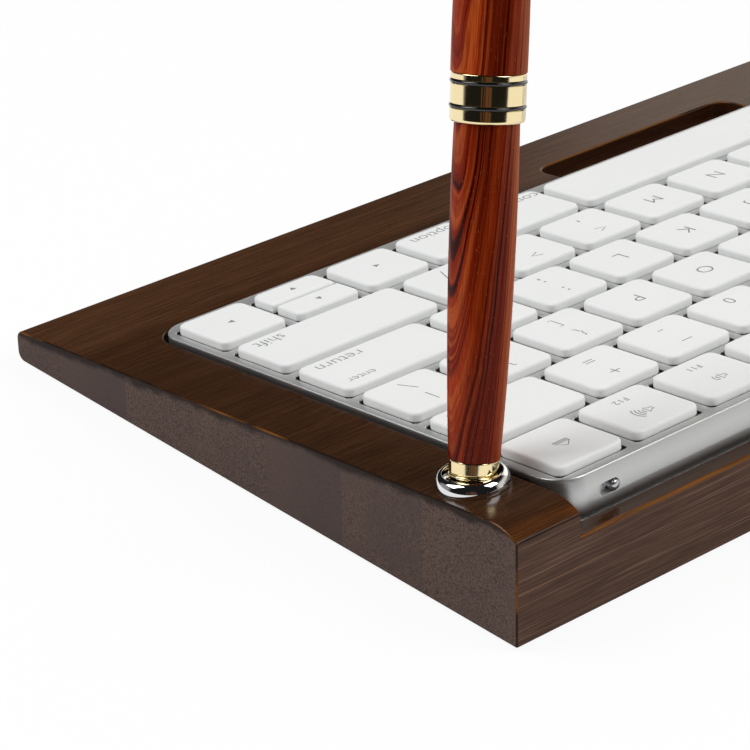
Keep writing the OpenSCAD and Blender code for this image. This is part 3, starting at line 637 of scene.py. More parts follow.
def cap_loops(x, y, w, d, rear=KEY_CORNER, front=KEY_CORNER):
    """Loops of one cap whose left front corner is at x, y, with the radii of its corners."""
    def loop(inset, z):
        r, f = max(rear - inset, LEAST_CORNER), max(front - inset, LEAST_CORNER)
        return rounded_loop(x + inset, y + inset, x + w - inset, y + d - inset, r, z, front_r=f)

    loops = [loop(CAP_WALL, KEY_RISE - CAP_TOP), loop(CAP_WALL, -KEY_SKIRT), loop(CAP_RIM, -KEY_SKIRT)]
    loops += [loop(0, -KEY_SKIRT + CAP_RIM), loop(0, KEY_RISE - CAP_EDGE - 0.1)]
    for i in range(EDGE_STEPS + 1):
        a = math.pi / 2 * i / EDGE_STEPS
        loops.append(loop(CAP_EDGE * (1 - math.cos(a)), KEY_RISE - CAP_EDGE * (1 - math.sin(a))))
    loops.append(loop(CAP_EDGE + 0.2, KEY_RISE))
    return loops


print("field of keys is", FIELD_W, "mm wide")

# %% [markdown]
# ## Where each key goes and what it says
#
# The rows are listed from the front to the rear, as in the CAD: node, width in key units, style and text. The
# styles follow the print of an ordinary keyboard. "one" is a letter in the middle, "two" a lower and an upper
# sign, "left" and "right" are small words at the outer front corner, and "f" is a function key with its
# number in front and a plain symbol behind it.

# %% Layout
def letters(text):
    """Letter keys that are nodes of their own."""
    return [("key_" + letter.lower(), 1, "one", letter) for letter in text]


def others(style, **texts):
    """Other keys that are nodes of their own."""
    return [("key_" + name, 1, style, text) for name, text in texts.items()]


def bank(node, style, texts):
    """Keys that share one node."""
    return [(node, 1, style, text) for text in texts]


ROWS = [
    bank("keys_front_row_left", "left", ["fn", "control", "option"])
    + [("keys_front_row_left", 1.25, "left", "command"), ("key_space", 5, None, "")]
    + [("key_right_command", 1.25, "right", "command"), ("key_right_option", 1, "right", "option")]
    + [("key_left_arrow", 1, "arrow", "left"), ("key_up_arrow", 1, "arrow", "split")]
    + [("key_right_arrow", 1, "arrow", "right")],
    [("keys_shift_row_left", 2.25, "left", "shift")]
    + bank("keys_shift_row_left", "one", "ZXCV")
    + letters("BNM")
    + others("two", comma=",<", period=".>", slash="/?")
    + [("key_right_shift", 2.25, "right", "shift")],
    [("keys_home_row_left", 1.75, "left", "caps lock")]
    + bank("keys_home_row_left", "one", "ASDFGH")
    + letters("JKL")
    + others("two", semicolon=";:", quote="'\"")
    + [("key_return", 1.75, "right", "return")],
    [("keys_upper_row_left", 1.5, "left", "tab")]
    + bank("keys_upper_row_left", "one", "QWERTYU")
    + letters("IOP")
    + others("two", left_bracket="[{", right_bracket="]}", backslash="\\|"),
    bank("keys_number_row_left", "two", ["`~", "1!", "2@", "3#", "4$", "5%", "6^", "7&", "8*", "9("])
    + others("two", zero="0)", minus="-_", equals="=+")
    + [("key_delete", 1.5, "right", "delete")],
    [("keys_function_row_left", 1.5, "left", "esc")]
    + bank("keys_function_row_left", "f", ["F%d" % i for i in range(1, 11)])
    + others("f", f11="F11", f12="F12", eject=""),
]


def places():
    """Every key of the rows, with its left front corner and its width."""
    for number, row in enumerate(ROWS):
        x = -FIELD_W / 2
        for node, units, style, text in row:
            yield node, style, text, x, number * PITCH, units * PITCH - KEY_GAP
            x += units * PITCH


print("keys:", len(list(places())) + 1)

# %% [markdown]
# ## Marks as thin plates
#
# Printed marks could be painted with a texture, but that needs an image. Blender's own font gives outlines
# for letters, and the plain symbols are small polygons. Both are given a thickness of a few hundredths of a
# millimetre, sunk into the cap so that only the face shows.

# %% Marks
LETTER, SIGN, WORD, SMALL, NUMBER = 5.0, 4.4, 4.4, 3.15, 2.4
INK_HIGH, INK_SUNK, INK_INDEX = 0.015, 0.06, 1


def inked(bm, before):
    """Gives the faces that are new since a count the ink's material."""
    bm.faces.ensure_lookup_table()
    for face in bm.faces[before:]:
        face.material_index = INK_INDEX


def plate(bm, points):
    """A flat polygon on the cap's top as a thin closed plate."""
    before = len(bm.faces)
    loft(bm, [[(x, y, z) for x, y in points] for z in (KEY_RISE - INK_SUNK, KEY_RISE + INK_HIGH)])
    inked(bm, before)


def stroke(bm, points, width=0.22):
    """A line of some width as a chain of plates."""
    sides = []
    for i, point in enumerate(points):
        ahead = Vector(points[min(i + 1, len(points) - 1)])
        along = (ahead - Vector(points[max(i - 1, 0)])).normalized()
        side = Vector((-along.y, along.x)) * width / 2
        sides.append((tuple(Vector(point) + side), tuple(Vector(point) - side)))
    for (left, right), (next_left, next_right) in zip(sides, sides[1:]):
        plate(bm, [left, right, next_right, next_left])


def words(bm, text, x, y, size, align="CENTER"):
    """Text on height y, as thin plates of ink: centred on it, or with a common line for words at one side."""
    curve = bpy.data.curves.new("mark", "FONT")
    curve.body, curve.size, curve.align_x = text, size, align
    curve.offset, curve.resolution_u = (-0.004 if size < SMALL else -0.013) * size, 3
    curve.extrude = (INK_HIGH + INK_SUNK) / 2
    holder = bpy.data.objects.new("mark", curve)
    scene.collection.objects.link(holder)
    shape = bpy.data.meshes.new_from_object(holder.evaluated_get(bpy.context.evaluated_depsgraph_get()))
    height = [v.co.y for v in shape.vertices]
    middle = (min(height) + max(height)) / 2 if align == "CENTER" else 0.27 * size
    top = KEY_RISE + INK_HIGH - curve.extrude
    shape.transform(Matrix.Translation((x, y - middle, top)))
    before = len(bm.faces)
    bm.from_mesh(shape)
    inked(bm, before)
    bpy.data.objects.remove(holder)
    bpy.data.curves.remove(curve)
    bpy.data.meshes.remove(shape)


print("mark tools ready")

# %% [markdown]
# ## Plain symbols
#
# The function keys carry the signs that every player and monitor uses: a sun for brightness, triangles for
# winding and playing, a loudspeaker with waves. A font of symbols could give them, but it would be one more
# file to load, so a few strokes and polygons do. They are drawn round the point 0, 0 in millimetres.

# %% Outlines of the symbols
SIGNS = {
    "-": [[(-0.7, 0), (0.7, 0)]],
    "_": [[(-1.35, 0), (1.35, 0)]],
    "=": [[(-1.2, 0.45), (1.2, 0.45)], [(-1.2, -0.45), (1.2, -0.45)]],
    "+": [[(-1.2, 0), (1.2, 0)], [(0, -1.2), (0, 1.2)]],
    "/": [[(-0.85, -2.1), (0.85, 2.1)]],
    "\\": [[(-0.85, 2.1), (0.85, -2.1)]],
    "|": [[(0, -2.0), (0, 2.0)]],
    "[": [[(0.45, 1.9), (-0.4, 1.9), (-0.4, -1.9), (0.45, -1.9)]],
    "]": [[(-0.45, 1.9), (0.4, 1.9), (0.4, -1.9), (-0.45, -1.9)]],
    "<": [[(1.1, 1.05), (-1.1, 0), (1.1, -1.05)]],
    ">": [[(-1.1, 1.05), (1.1, 0), (-1.1, -1.05)]],
    "'": [[(0, 0.65), (0, -0.5)]],
    '"': [[(-0.4, 0.65), (-0.4, -0.5)], [(0.4, 0.65), (0.4, -0.5)]],
}
DOTS = {".": [0.0], ",": [0.0], ":": [-0.85, 0.85], ";": [-0.85, 0.85]}
TRIANGLE = {"left": 180, "right": 0, "up": 90, "down": 270}
SPEAKER = [(-1.6, -0.45), (-1.0, -0.45), (-0.2, -1.15), (-0.2, 1.15), (-1.0, 0.45), (-1.6, 0.45),
           (-1.6, -0.4)]
EJECT = [[(-1.7, -0.1), (0.0, 1.5), (1.7, -0.1), (-1.6, -0.1)],
         [(-1.7, -0.95), (1.7, -0.95), (1.7, -0.55), (-1.7, -0.55), (-1.7, -0.9)]]
WAVES = {"F10": 0, "F11": 2, "F12": 4}


print("signs:", len(SIGNS) + len(DOTS))


# %% Drawing the symbols
def triangle(bm, x, y, way, size=0.85):
    a = math.radians(TRIANGLE[way])
    tips = [(a + math.radians(t), s) for t, s in ((0, 1.0), (125, 1.05), (235, 1.05))]
    plate(bm, [(x + size * s * math.cos(t), y + size * s * math.sin(t)) for t, s in tips])


def moved(points, x, y):
    return [(x + px, y + py) for px, py in points]


def sun(bm, x, y, size):
    plate(bm, moved(arc(0, 0, 0.55 * size, 0, 330, 11), x, y))
    for i in range(8):
        a = math.radians(45 * i)
        c, s = math.cos(a) * size, math.sin(a) * size
        stroke(bm, moved([(0.85 * c, 0.85 * s), (1.3 * c, 1.3 * s)], x, y), 0.2)


def sign(bm, text, x, y):
    """A sign key's mark: drawn from listed strokes where a font's would be too small, and set in type
    elsewhere.
    """
    for line in SIGNS.get(text, []):
        stroke(bm, moved(line, x, y), 0.24)
    for height in DOTS.get(text, []):
        plate(bm, moved(arc(0, height, 0.28, 0, 330, 11), x, y))
    if text in ",;":
        low = DOTS[text][0]
        stroke(bm, moved([(0.14, low), (-0.05, low - 0.5), (-0.25, low - 0.8)], x, y))
    if text not in SIGNS and text not in DOTS:
        words(bm, text, x, y, SIGN)


def loudspeaker(bm, x, y, waves):
    stroke(bm, moved(SPEAKER, x, y), 0.2)
    for i in range(waves):
        stroke(bm, moved(arc(-0.4, 0, 1.0 + 0.7 * i, -40, 40), x, y), 0.22)


def function_symbol(bm, text, x, y):
    """The sign behind a function key's number, where it has one."""
    if text in ("F1", "F2"):
        sun(bm, x, y, 0.8 if text == "F1" else 1.05)
    elif text in ("F7", "F9"):
        for step in (-0.75, 0.75):
            triangle(bm, x + step, y, "left" if text == "F7" else "right", 0.8)
    elif text == "F8":
        triangle(bm, x - 0.9, y, "right", 0.9)
        for step in (0.5, 1.1):
            stroke(bm, [(x + step, y - 0.8), (x + step, y + 0.8)], 0.28)
    elif text in WAVES:
        loudspeaker(bm, x, y, WAVES[text])
    elif text == "":
        for line, width in zip(EJECT, (0.22, 0.2)):
            stroke(bm, moved(line, x, y - 1.8), width)


print("symbols ready")

# %% [markdown]
# ## Build every key
#
# Now one pass over the keys makes a bmesh for each node. A word stands 2.8 mm from the key's outer end, and
# the two signs of a sign key are 7 mm apart, as measured on the photograph. Each cap's place is noted for the
# parts below it.

# %% The print of one key
WORD_INSET, WORD_Y, SECOND_WORD_Y, WIDE_KEY = 2.8, 3.3, 12.8, 20
LETTER_Y, LOW_SIGN_Y, HIGH_SIGN_Y, NUMBER_Y, SYMBOL_Y, ARROW_Y = 8.1, 4.8, 11.8, 3.9, 10.4, 7.9


def print_marks(bm, style, text, x, y, w):
    """The print of one key whose left front corner is x, y."""
    middle = x + w / 2
    if style == "one":
        words(bm, text, middle, y + LETTER_Y, LETTER)
    elif style == "two":
        sign(bm, text[0], middle, y + LOW_SIGN_Y)
        sign(bm, text[1], middle, y + HIGH_SIGN_Y)
    elif style == "f":
        if text:
            words(bm, text, middle, y + NUMBER_Y, NUMBER)
        function_symbol(bm, text, middle, y + SYMBOL_Y)
    elif style == "left":
        words(bm, text, x + WORD_INSET, y + WORD_Y, WORD if w > WIDE_KEY else SMALL, "LEFT")
    elif style == "right":
        words(bm, text, x + w - WORD_INSET, y + WORD_Y, WORD, "RIGHT")
        if text == "return":
            words(bm, "enter", x + w - WORD_INSET, y + SECOND_WORD_Y, SMALL, "RIGHT")
    elif style == "arrow":
        triangle(bm, middle, y + ARROW_Y, text)


print("words stand", WORD_INSET, "mm from the end of a key")

# %% Keys
key_meshes, caps = defaultdict(bmesh.new), []
for node, style, text, x, y, w in places():
    if text == "split":
        halves = [("key_down_arrow", y, "down", SPLIT_CORNER, KEY_CORNER),
                  ("key_up_arrow", y + HALF_KEY + SPLIT_GAP, "up", KEY_CORNER, SPLIT_CORNER)]
        for half, start, way, rear, front in halves:
            caps.append((half, x, start, w, HALF_KEY))
            loft(key_meshes[half], cap_loops(x, start, w, HALF_KEY, rear, front))
            triangle(key_meshes[half], x + w / 2, start + HALF_KEY / 2, way)
    else:
        caps.append((node, x, y, w, KEY))
        loft(key_meshes[node], cap_loops(x, y, w, KEY))
        print_marks(key_meshes[node], style, text, x, y, w)

for node, bm in key_meshes.items():
    mesh = finished(bm, "cap." + node, [KEY_WHITE, KEY_INK])
    piece(mesh, node, DECK, "key_plastic", node)
print("key pieces:", len(key_meshes))

# %% [markdown]
# ## Cutting one mesh out of another
#
# A loft can't make a slot in a wall. The Boolean modifier can, and its exact solver keeps flat faces whole.
# It is applied at once and its helpers are deleted, so only a plain mesh stays.


# %% Cutting
def temporary(bm, name):
    """A helper object that holds a bmesh for a moment."""
    bmesh.ops.recalc_face_normals(bm, faces=bm.faces)
    mesh = bpy.data.meshes.new(name)
    bm.to_mesh(mesh)
    bm.free()
    made = bpy.data.objects.new(name, mesh)
    scene.collection.objects.link(made)
    return made


def carved(bm, cutters):
    """The solid bm with the closed solids in cutters taken away, as a new bmesh."""
    body = temporary(bm, "carved")
    tools = [temporary(c, "cutter") for c in cutters]
    for tool in tools:
        cut = body.modifiers.new("cut", "BOOLEAN")
        cut.operation, cut.solver, cut.object = "DIFFERENCE", "EXACT", tool
    shape = bpy.data.meshes.new_from_object(body.evaluated_get(bpy.context.evaluated_depsgraph_get()))
    out = bmesh.new()
    out.from_mesh(shape)
    for made in [body] + tools:
        old = made.data
        bpy.data.objects.remove(made)
        bpy.data.meshes.remove(old)
    bpy.data.meshes.remove(shape)
    return out


print("cutting ready")

# %% Solids to cut with
BORE_STEPS = 48


def prism(loop_low, loop_high):
    """A solid between two loops."""
    bm = bmesh.new()
    loft(bm, [loop_low, loop_high])
    return bm


def upright(outline, low, high):
    """A solid that stands on an outline, from one height to another."""
    return prism(*[[(point[0], point[1], z) for point in outline] for z in (low, high)])


def block(low, high):
    """A plain box to cut with."""
    (x0, y0, z0), (x1, y1, z1) = low, high
    return upright([(x0, y0), (x1, y0), (x1, y1), (x0, y1)], z0, z1)


def placed(bm, matrix):
    """The same bmesh, moved by a matrix."""
    bmesh.ops.transform(bm, matrix=matrix, verts=bm.verts)
    return bm


def turned_prism(r, length, matrix):
    """A cylinder along its own z, placed by a matrix."""
    return placed(upright(circle_loop(r, 0, BORE_STEPS), 0, length), matrix)


print("solids ready")


# %% Rounded edges
def rounded_edges(bm, width, steps, choose):
    """Rounds the chosen edges and marks the rounding with the arris attribute."""
    edges = [e for e in bm.edges if len(e.link_faces) == 2 and choose(e)]
    made = bmesh.ops.bevel(bm, geom=edges, offset=width, offset_type="OFFSET", segments=steps,
                           profile=0.5, affect="EDGES", clamp_overlap=True)
    fresh = set(made["faces"])
    layer = bm.verts.layers.float.get("arris") or bm.verts.layers.float.new("arris")
    for vert in bm.verts:
        if vert.link_faces and all(f in fresh for f in vert.link_faces):
            vert[layer] = 1.0
    return len(edges)


def sharp(edge, least_deg=25):
    """Whether an edge stands out and its faces turn by at least this much."""
    return edge.is_convex and edge.calc_face_angle(0) > math.radians(least_deg)


print("edges ready")

# %% [markdown]
# ## The tray
#
# The tray is one wedge of wood with a pocket for the keyboard, a finger notch in front of it, a low lip
# behind it and a bore for the pen socket. A cube with a Bevel modifier can't give the long rounding at the
# rear. So the side view is an outline with its roundings, drawn out to the full width, and the pocket, the
# lip's step, the bore and the foot seats are cut from it. At the end, every convex arris is rounded by about
# half a millimetre, which catches the light and carries the worn stain and a painted shade. A Weighted Normal
# modifier then lets the large flat faces lead the shading beside the rounded edges.

# %% Tray sizes
TRAY_W, TRAY_D, FOOT_H, FOOT_SEAT, FOOT_D, FOOT_INSET = 309.975, 150.002, 0.8, 0.8, 14.0, 20.0
RECESS_X, RECESS_Y0, RECESS_Y1, RECESS_Z, RECESS_R = 139.7875, -49.376, 71.001, 5.8, 6.9
NOTCH_X0, NOTCH_X1, NOTCH_D, NOTCH_R = -35.0, 25.0, 9.3, 4.0
LIP_Z, FRONT_ROUND, REAR_ROUND, REAR_ROUND_START = 17.1, 2.0, 11.0, 7.2
TRAY_ARRIS, DECK_PROUD, ABOVE_ALL = 0.45, 0.8, 60
BORE_R, BORE_L, BORE_Z, SEAT_CLEAR = 4.4, 24, -14.1, 0.05
deck_mm = DECK_O / MM


def tray_top(y):
    """Height of the sloping wood, which the deck stands proud of."""
    return deck_mm.z - DECK_PROUD / math.cos(TILT) + (y - deck_mm.y) * math.tan(TILT)


def tray_outline():
    """Side view of the wedge as (y, z) points, from the rear foot forwards and back over the top."""
    y0, y1, f = -TRAY_D / 2, TRAY_D / 2, FRONT_ROUND
    tilt = math.degrees(TILT)
    front_z = tray_top(y0 + f) - f / math.cos(TILT)
    rear_y = y1 - REAR_ROUND_START
    rear_c = (rear_y + REAR_ROUND * math.sin(TILT), tray_top(rear_y) - REAR_ROUND * math.cos(TILT))
    last = math.degrees(math.acos((y1 - rear_c[0]) / REAR_ROUND))
    points = [(y1, FOOT_H)]
    points += arc(y0 + f, FOOT_H + f, f, 270, 180, 8)
    points += arc(y0 + f, front_z, f, 180, 90 + tilt, 8)
    points += arc(rear_c[0], rear_c[1], REAR_ROUND, 90 + tilt, last, 20)
    return points


def pocket_outline():
    """Plan of the keyboard's pocket with its finger notch."""
    r, n = RECESS_R, NOTCH_R
    low = RECESS_Y0 - NOTCH_D
    points = [(-RECESS_X, RECESS_Y1)]
    points += arc(-RECESS_X + r, RECESS_Y0 + r, r, 180, 270, 10)
    points += [(NOTCH_X0, RECESS_Y0)] + arc(NOTCH_X0 + n, low + n, n, 180, 270, 8)
    points += arc(NOTCH_X1 - n, low + n, n, 270, 360, 8) + [(NOTCH_X1, RECESS_Y0)]
    points += arc(RECESS_X - r, RECESS_Y0 + r, r, 270, 360, 10)
    return points + [(RECESS_X, RECESS_Y1)]


print("tray top rises from", round(tray_top(-75), 2), "to", round(tray_top(75), 2), "mm")

# %% Tray
side = tray_outline()
wedge = prism([(-TRAY_W / 2, y, z) for y, z in side], [(TRAY_W / 2, y, z) for y, z in side])
cutters = [upright(pocket_outline(), RECESS_Z, ABOVE_ALL)]
cutters.append(block((-RECESS_X, RECESS_Y1 - 1, LIP_Z), (RECESS_X, TRAY_D / 2 + 1, ABOVE_ALL)))
pen_mm = Matrix.Translation(PEN_O / MM) @ PEN.to_3x3().to_4x4()
cutters.append(turned_prism(BORE_R, BORE_L, pen_mm @ Matrix.Translation((0, 0, BORE_Z))))
foot_x, foot_y = TRAY_W / 2 - FOOT_INSET, TRAY_D / 2 - FOOT_INSET
foot_places = [(sx * foot_x, sy * foot_y) for sx in (-1, 1) for sy in (-1, 1)]
for fx, fy in foot_places:
    seat = Matrix.Translation((fx, fy, 0))
    cutters.append(turned_prism(FOOT_D / 2 + SEAT_CLEAR, FOOT_H + FOOT_SEAT, seat))
bm = carved(wedge, cutters)
bmesh.ops.dissolve_limit(bm, angle_limit=math.radians(0.2), verts=bm.verts, edges=bm.edges)
count = rounded_edges(bm, TRAY_ARRIS, 3, sharp)
tray = piece(finished(bm, "tray.wood", [BAMBOO]), "tray", Matrix(), "stained_wood", "tray_body")
tray.modifiers.new("weighted", "WEIGHTED_NORMAL").keep_sharp = True
print("tray: rounded", count, "edges,", len(tray.data.polygons), "faces")

# %% [markdown]
# ## Feet
#
# Four rubber discs stand a little below the wood. A cylinder with a Bevel modifier would come close. Turned
# from an outline, each also gets the shallow hollow of its tread, beside the rounded edge and the straight
# shank that sits in its seat. One mesh holds all four, as the CAD node does.

# %% Feet
FOOT_ROUND = 0.5
bm = bmesh.new()
rim = arc(FOOT_D / 2 - FOOT_ROUND, FOOT_ROUND, FOOT_ROUND, -90, 0, 5)
outline = [(FOOT_D / 2 - 2.0, 0.12), (FOOT_D / 2 - 1.6, 0.0)] + rim + [(FOOT_D / 2, FOOT_H + FOOT_SEAT)]
for fx, fy in foot_places:
    loft(bm, [[(fx + px, fy + py, z) for px, py, z in circle_loop(r, z, BORE_STEPS)] for r, z in outline])
piece(finished(bm, "tray.feet", [FOOT_BLACK]), "tray", Matrix(), "black_rubber", "tray_feet")
print("feet: 4")

# %% [markdown]
# ## The aluminium case
#
# The case is a pressed shell one millimetre thick: a flat deck with an opening for every key, a short skirt
# all round, and a deep, gently bulged rear face. The outside is a loft of the deck's outline whose rear edge
# follows the bulge, with a fine rounded arris at the top, and the inside is the same outline drawn in. The
# openings join the two skins. A Solidify modifier could give the thickness, but not the fine arris of each
# opening. Slot, battery hole and the shorter front skirt are cut afterwards.

# %% Case sizes
DECK_W, DECK_Y0, DECK_Y1, DECK_R, SKIN = FIELD_W + 4.4, -4.0, 113.85, 6.0, 1.0
SKIRT, FRONT_SKIRT, BULGE_R, KEY_CLEAR = 8.6, 3.0, 18.0, 0.3
BULGE_Z = -SKIRT * 0.55
BULGE_Y = DECK_Y1 - math.sqrt(BULGE_R ** 2 - BULGE_Z ** 2)
CASE_Y1 = BULGE_Y + BULGE_R
BAY_Y0 = CASE_Y1 - 18.0
CASE_ARRIS, OPENING_ARRIS, OPENING_CUT = 0.28, 0.12, 0.6
SLOT_X, SLOT_DROP, SLOT_L, SLOT_H, SLOT_ARRIS = FIELD_W / 2 - 8.8, 4.1, 4.9, 2.4, 0.25
CELL_Y, CELL_Z, CAP_D, CAP_CLEAR = 105.483, -9.45, 12.0, 0.1


def bulge(z):
    """How far back the rear face reaches at height z."""
    return BULGE_Y + math.sqrt(BULGE_R ** 2 - (z - BULGE_Z) ** 2)


def case_loop(inset, z, rear_inset):
    """The case's outline at height z, drawn in by some distance."""
    x = DECK_W / 2 - inset
    return rounded_loop(-x, DECK_Y0 + inset, x, bulge(z) - rear_inset, DECK_R - inset, z, 14)


def opening_loop(x, y, w, out, z):
    """A key opening with slightly cut corners, drawn out by some distance."""
    a, cut = KEY_CLEAR + out, OPENING_CUT
    x0, y0, x1, y1 = x - a, y - a, x + w + a, y + KEY + a
    return [(x0 + cut, y0, z), (x1 - cut, y0, z), (x1, y0 + cut, z), (x1, y1 - cut, z),
            (x1 - cut, y1, z), (x0 + cut, y1, z), (x0, y1 - cut, z), (x0, y0 + cut, z)]


print("rear face bulges to", round(CASE_Y1, 3), "mm")

# %% Case
def fill_with_holes(bm, outer, holes):
    """Fills the flat area between an outer loop of vertices and the loops inside it."""
    edges = []
    for loop in [outer] + holes:
        for i, vert in enumerate(loop):
            edges.append(bm.edges.get((vert, loop[(i + 1) % len(loop)])))
    bmesh.ops.triangle_fill(bm, use_beauty=True, use_dissolve=False, edges=edges)


bm = bmesh.new()
outside = []
for i in range(5):
    a = math.pi / 2 * i / 4
    inset, z = CASE_ARRIS * (1 - math.sin(a)), -CASE_ARRIS * (1 - math.cos(a))
    outside.append(case_loop(inset, z, inset))
outside += [case_loop(0, -CASE_ARRIS - (SKIRT - CASE_ARRIS) * i / 16, 0) for i in range(1, 17)]
inside = [case_loop(SKIN, -SKIRT + (SKIRT - SKIN) * i / 16, SKIN) for i in range(17)]
skin = loft(bm, outside + inside, first=False, last=False)

top_holes, low_holes = [], []
levels = [(OPENING_ARRIS, 0.0), (0.0, -OPENING_ARRIS), (0.0, -SKIN)]
for _, _, _, x, y, w in places():
    walls = loft(bm, [opening_loop(x, y, w, out, z) for out, z in levels], False, False)
    top_holes.append(walls[0])
    low_holes.append(walls[-1])
fill_with_holes(bm, skin[0], top_holes)
fill_with_holes(bm, skin[-1], low_holes)
print("case: openings", len(top_holes))

# %% Slot, battery hole and front skirt
lie_back = Matrix.Rotation(math.radians(90), 4, "X")
slot_outline = rounded_loop(-SLOT_L / 2, -SLOT_H / 2, SLOT_L / 2, SLOT_H / 2, SLOT_H * 0.499, 0, 8)
slot_place = Matrix.Translation((SLOT_X, CASE_Y1 + 1, -SLOT_DROP)) @ lie_back
slot = placed(upright(slot_outline, 0, 5), slot_place)
across = Matrix.Rotation(math.radians(90), 4, "Y")
hole_place = Matrix.Translation((-DECK_W / 2 - 1, CELL_Y, CELL_Z)) @ across
hole = turned_prism(CAP_D / 2 + CAP_CLEAR, 6.0, hole_place)
front = block((-DECK_W, DECK_Y0 - 1, -SKIRT - 1), (DECK_W, BAY_Y0, -FRONT_SKIRT))
bm = carved(bm, [front, slot, hole])


def slot_rim(edge):
    """Whether an edge is on the outer rim of the switch's slot."""
    near = [abs(v.co.x - SLOT_X) < SLOT_L and v.co.y > CASE_Y1 - 0.4 and abs(v.co.z + SLOT_DROP) < SLOT_H
            for v in edge.verts]
    return all(near) and sharp(edge, 40)


count = rounded_edges(bm, SLOT_ARRIS, 4, slot_rim)
piece(finished(bm, "case.top", [ALUMINIUM], 28), "keyboard", DECK, "aluminium", "top_case")
print("case: slot edges rounded", count)

# %% [markdown]
# ## Power switch
#
# The knob is a small polished button that slides in its slot. A flattened sphere would do for the end that
# shows, but not for the stem in the slot. So the knob is turned: a foot inside the case, a straight stem and
# a domed end, lying on its side.

# %% Power switch
KNOB_R, KNOB_FOOT_R, KNOB_DOME, KNOB_X = 1.0, 1.25, 0.5, SLOT_X - 1.25
KNOB_Y0, KNOB_Y1 = 112.733, CASE_Y1 + 0.6
bm = bmesh.new()
outline = [(KNOB_FOOT_R, 0.0), (KNOB_FOOT_R, 0.25), (KNOB_R, 0.3)]
length = KNOB_Y1 - KNOB_Y0
for i in range(9):
    a = math.radians(10 * i)
    outline.append((KNOB_R * math.cos(a), length - KNOB_DOME + KNOB_DOME * math.sin(a)))
loft(bm, [circle_loop(r, z, 40) for r, z in outline])
lay = Matrix.Translation((KNOB_X, KNOB_Y0, -SLOT_DROP)) @ Matrix.Rotation(math.radians(-90), 4, "X")
mesh = finished(placed(bm, lay), "switch.knob", [STEEL])
piece(mesh, "power_switch_knob", DECK, "steel", "power_switch_knob")
print("knob is", round(length, 2), "mm long")

# %% [markdown]
# ## The pen and its socket
#
# Everything on the pen is turned on a lathe, so each piece is an outline spun round the pen's axis. A Screw
# modifier could spin it, but the loft is at hand and closes the rings as well. The barrels swell gently,
# which a parabola gives. The band has grooves for two black rings and a rolled lower rim. The socket's
# flange is a fat rounded ring that lies on the sloping wood.


# %% Turning
TURN_STEPS, TURNED_SHARP = 96, 40


def spun(bm, outline, ring=True):
    """Spins an outline of (radius, height) round the z axis; a ring's outline is closed."""
    loft(bm, [circle_loop(r, z, TURN_STEPS) for r, z in outline], ring=ring)


def rings_on_pen(name, outlines, material, slot, node):
    """One piece of the pen, made of turned rings."""
    bm = bmesh.new()
    for outline in outlines:
        spun(bm, outline)
    piece(finished(bm, name, [material], TURNED_SHARP), "pen", PEN, slot, node)


print("lathe ready, with", TURN_STEPS, "steps")

# %% Barrels
SEAT_Z, SHOULDER_Z, COLLAR_L, LOWER_L = 1.2153, 1.4653, 3.1, 59.0
BAND_H, UPPER_L, FINIAL_L = 8.4, 44.0, 6.0
LOWER_Z = SHOULDER_Z + COLLAR_L
BAND_Z = LOWER_Z + LOWER_L
UPPER_Z = BAND_Z + BAND_H
FINIAL_Z = UPPER_Z + UPPER_L
CORE_R, CORE_CLEAR, BARREL_STEPS, BARREL_CUT = 3.2, 0.05, 28, 0.12


def barrel(z, length, swell_z, swell_r, end_z, end_r):
    """Outline of a barrel whose radius is largest at swell_z, with its end edges cut a little."""
    def radius(h):
        return swell_r - (swell_r - end_r) * ((h - swell_z) / (end_z - swell_z)) ** 2

    heights = [z + length * i / BARREL_STEPS for i in range(BARREL_STEPS + 1)]
    points = [(radius(h), h) for h in heights]
    low, high = points[0][0], points[-1][0]
    points = [(low - BARREL_CUT, z), (low, z + BARREL_CUT)] + points[1:-1]
    points += [(high, z + length - BARREL_CUT), (high - BARREL_CUT, z + length)]
    return points + [(CORE_R + CORE_CLEAR, z + length), (CORE_R + CORE_CLEAR, z)]


barrels = [barrel(LOWER_Z, LOWER_L, LOWER_Z + LOWER_L * 0.74, 5.8, LOWER_Z, 4.55),
           barrel(UPPER_Z, UPPER_L, UPPER_Z + UPPER_L * 0.12, 6.6, FINIAL_Z, 5.3)]
rings_on_pen("pen.barrels", barrels, ROSEWOOD, "rosewood", "pen_barrels")
print("pen reaches", round(FINIAL_Z + FINIAL_L, 1), "mm from the wood along its axis")

# %% Band rings
BAND_R, RING_R = 6.5, 0.4
RING_ZS = [BAND_Z + BAND_H * 0.32, BAND_Z + BAND_H * 0.82]
rings = [arc(BAND_R - RING_R / 2, z, RING_R * 0.9, -120, 120, 14) for z in RING_ZS]
rings_on_pen("pen.rings", rings, RING_BLACK, "black_gloss", "pen_band_rings")
print("rings:", len(rings))

# %% [markdown]
# ## Gold fittings
#
# The fittings could be turned one by one, but then each joint between them would have to be hidden. So one
# outline runs from the nose, hidden in the socket, over the flared collar, up the core inside the barrels,
# out over the band and on to the finial. It steps in at each black ring. A slim spring clip hangs from the
# finial.

# %% Gold fittings
NOSE_Z = -(14.0 - 8.6 * 0.12)
COLLAR_R, GROOVE = 4.4, RING_R + 0.05


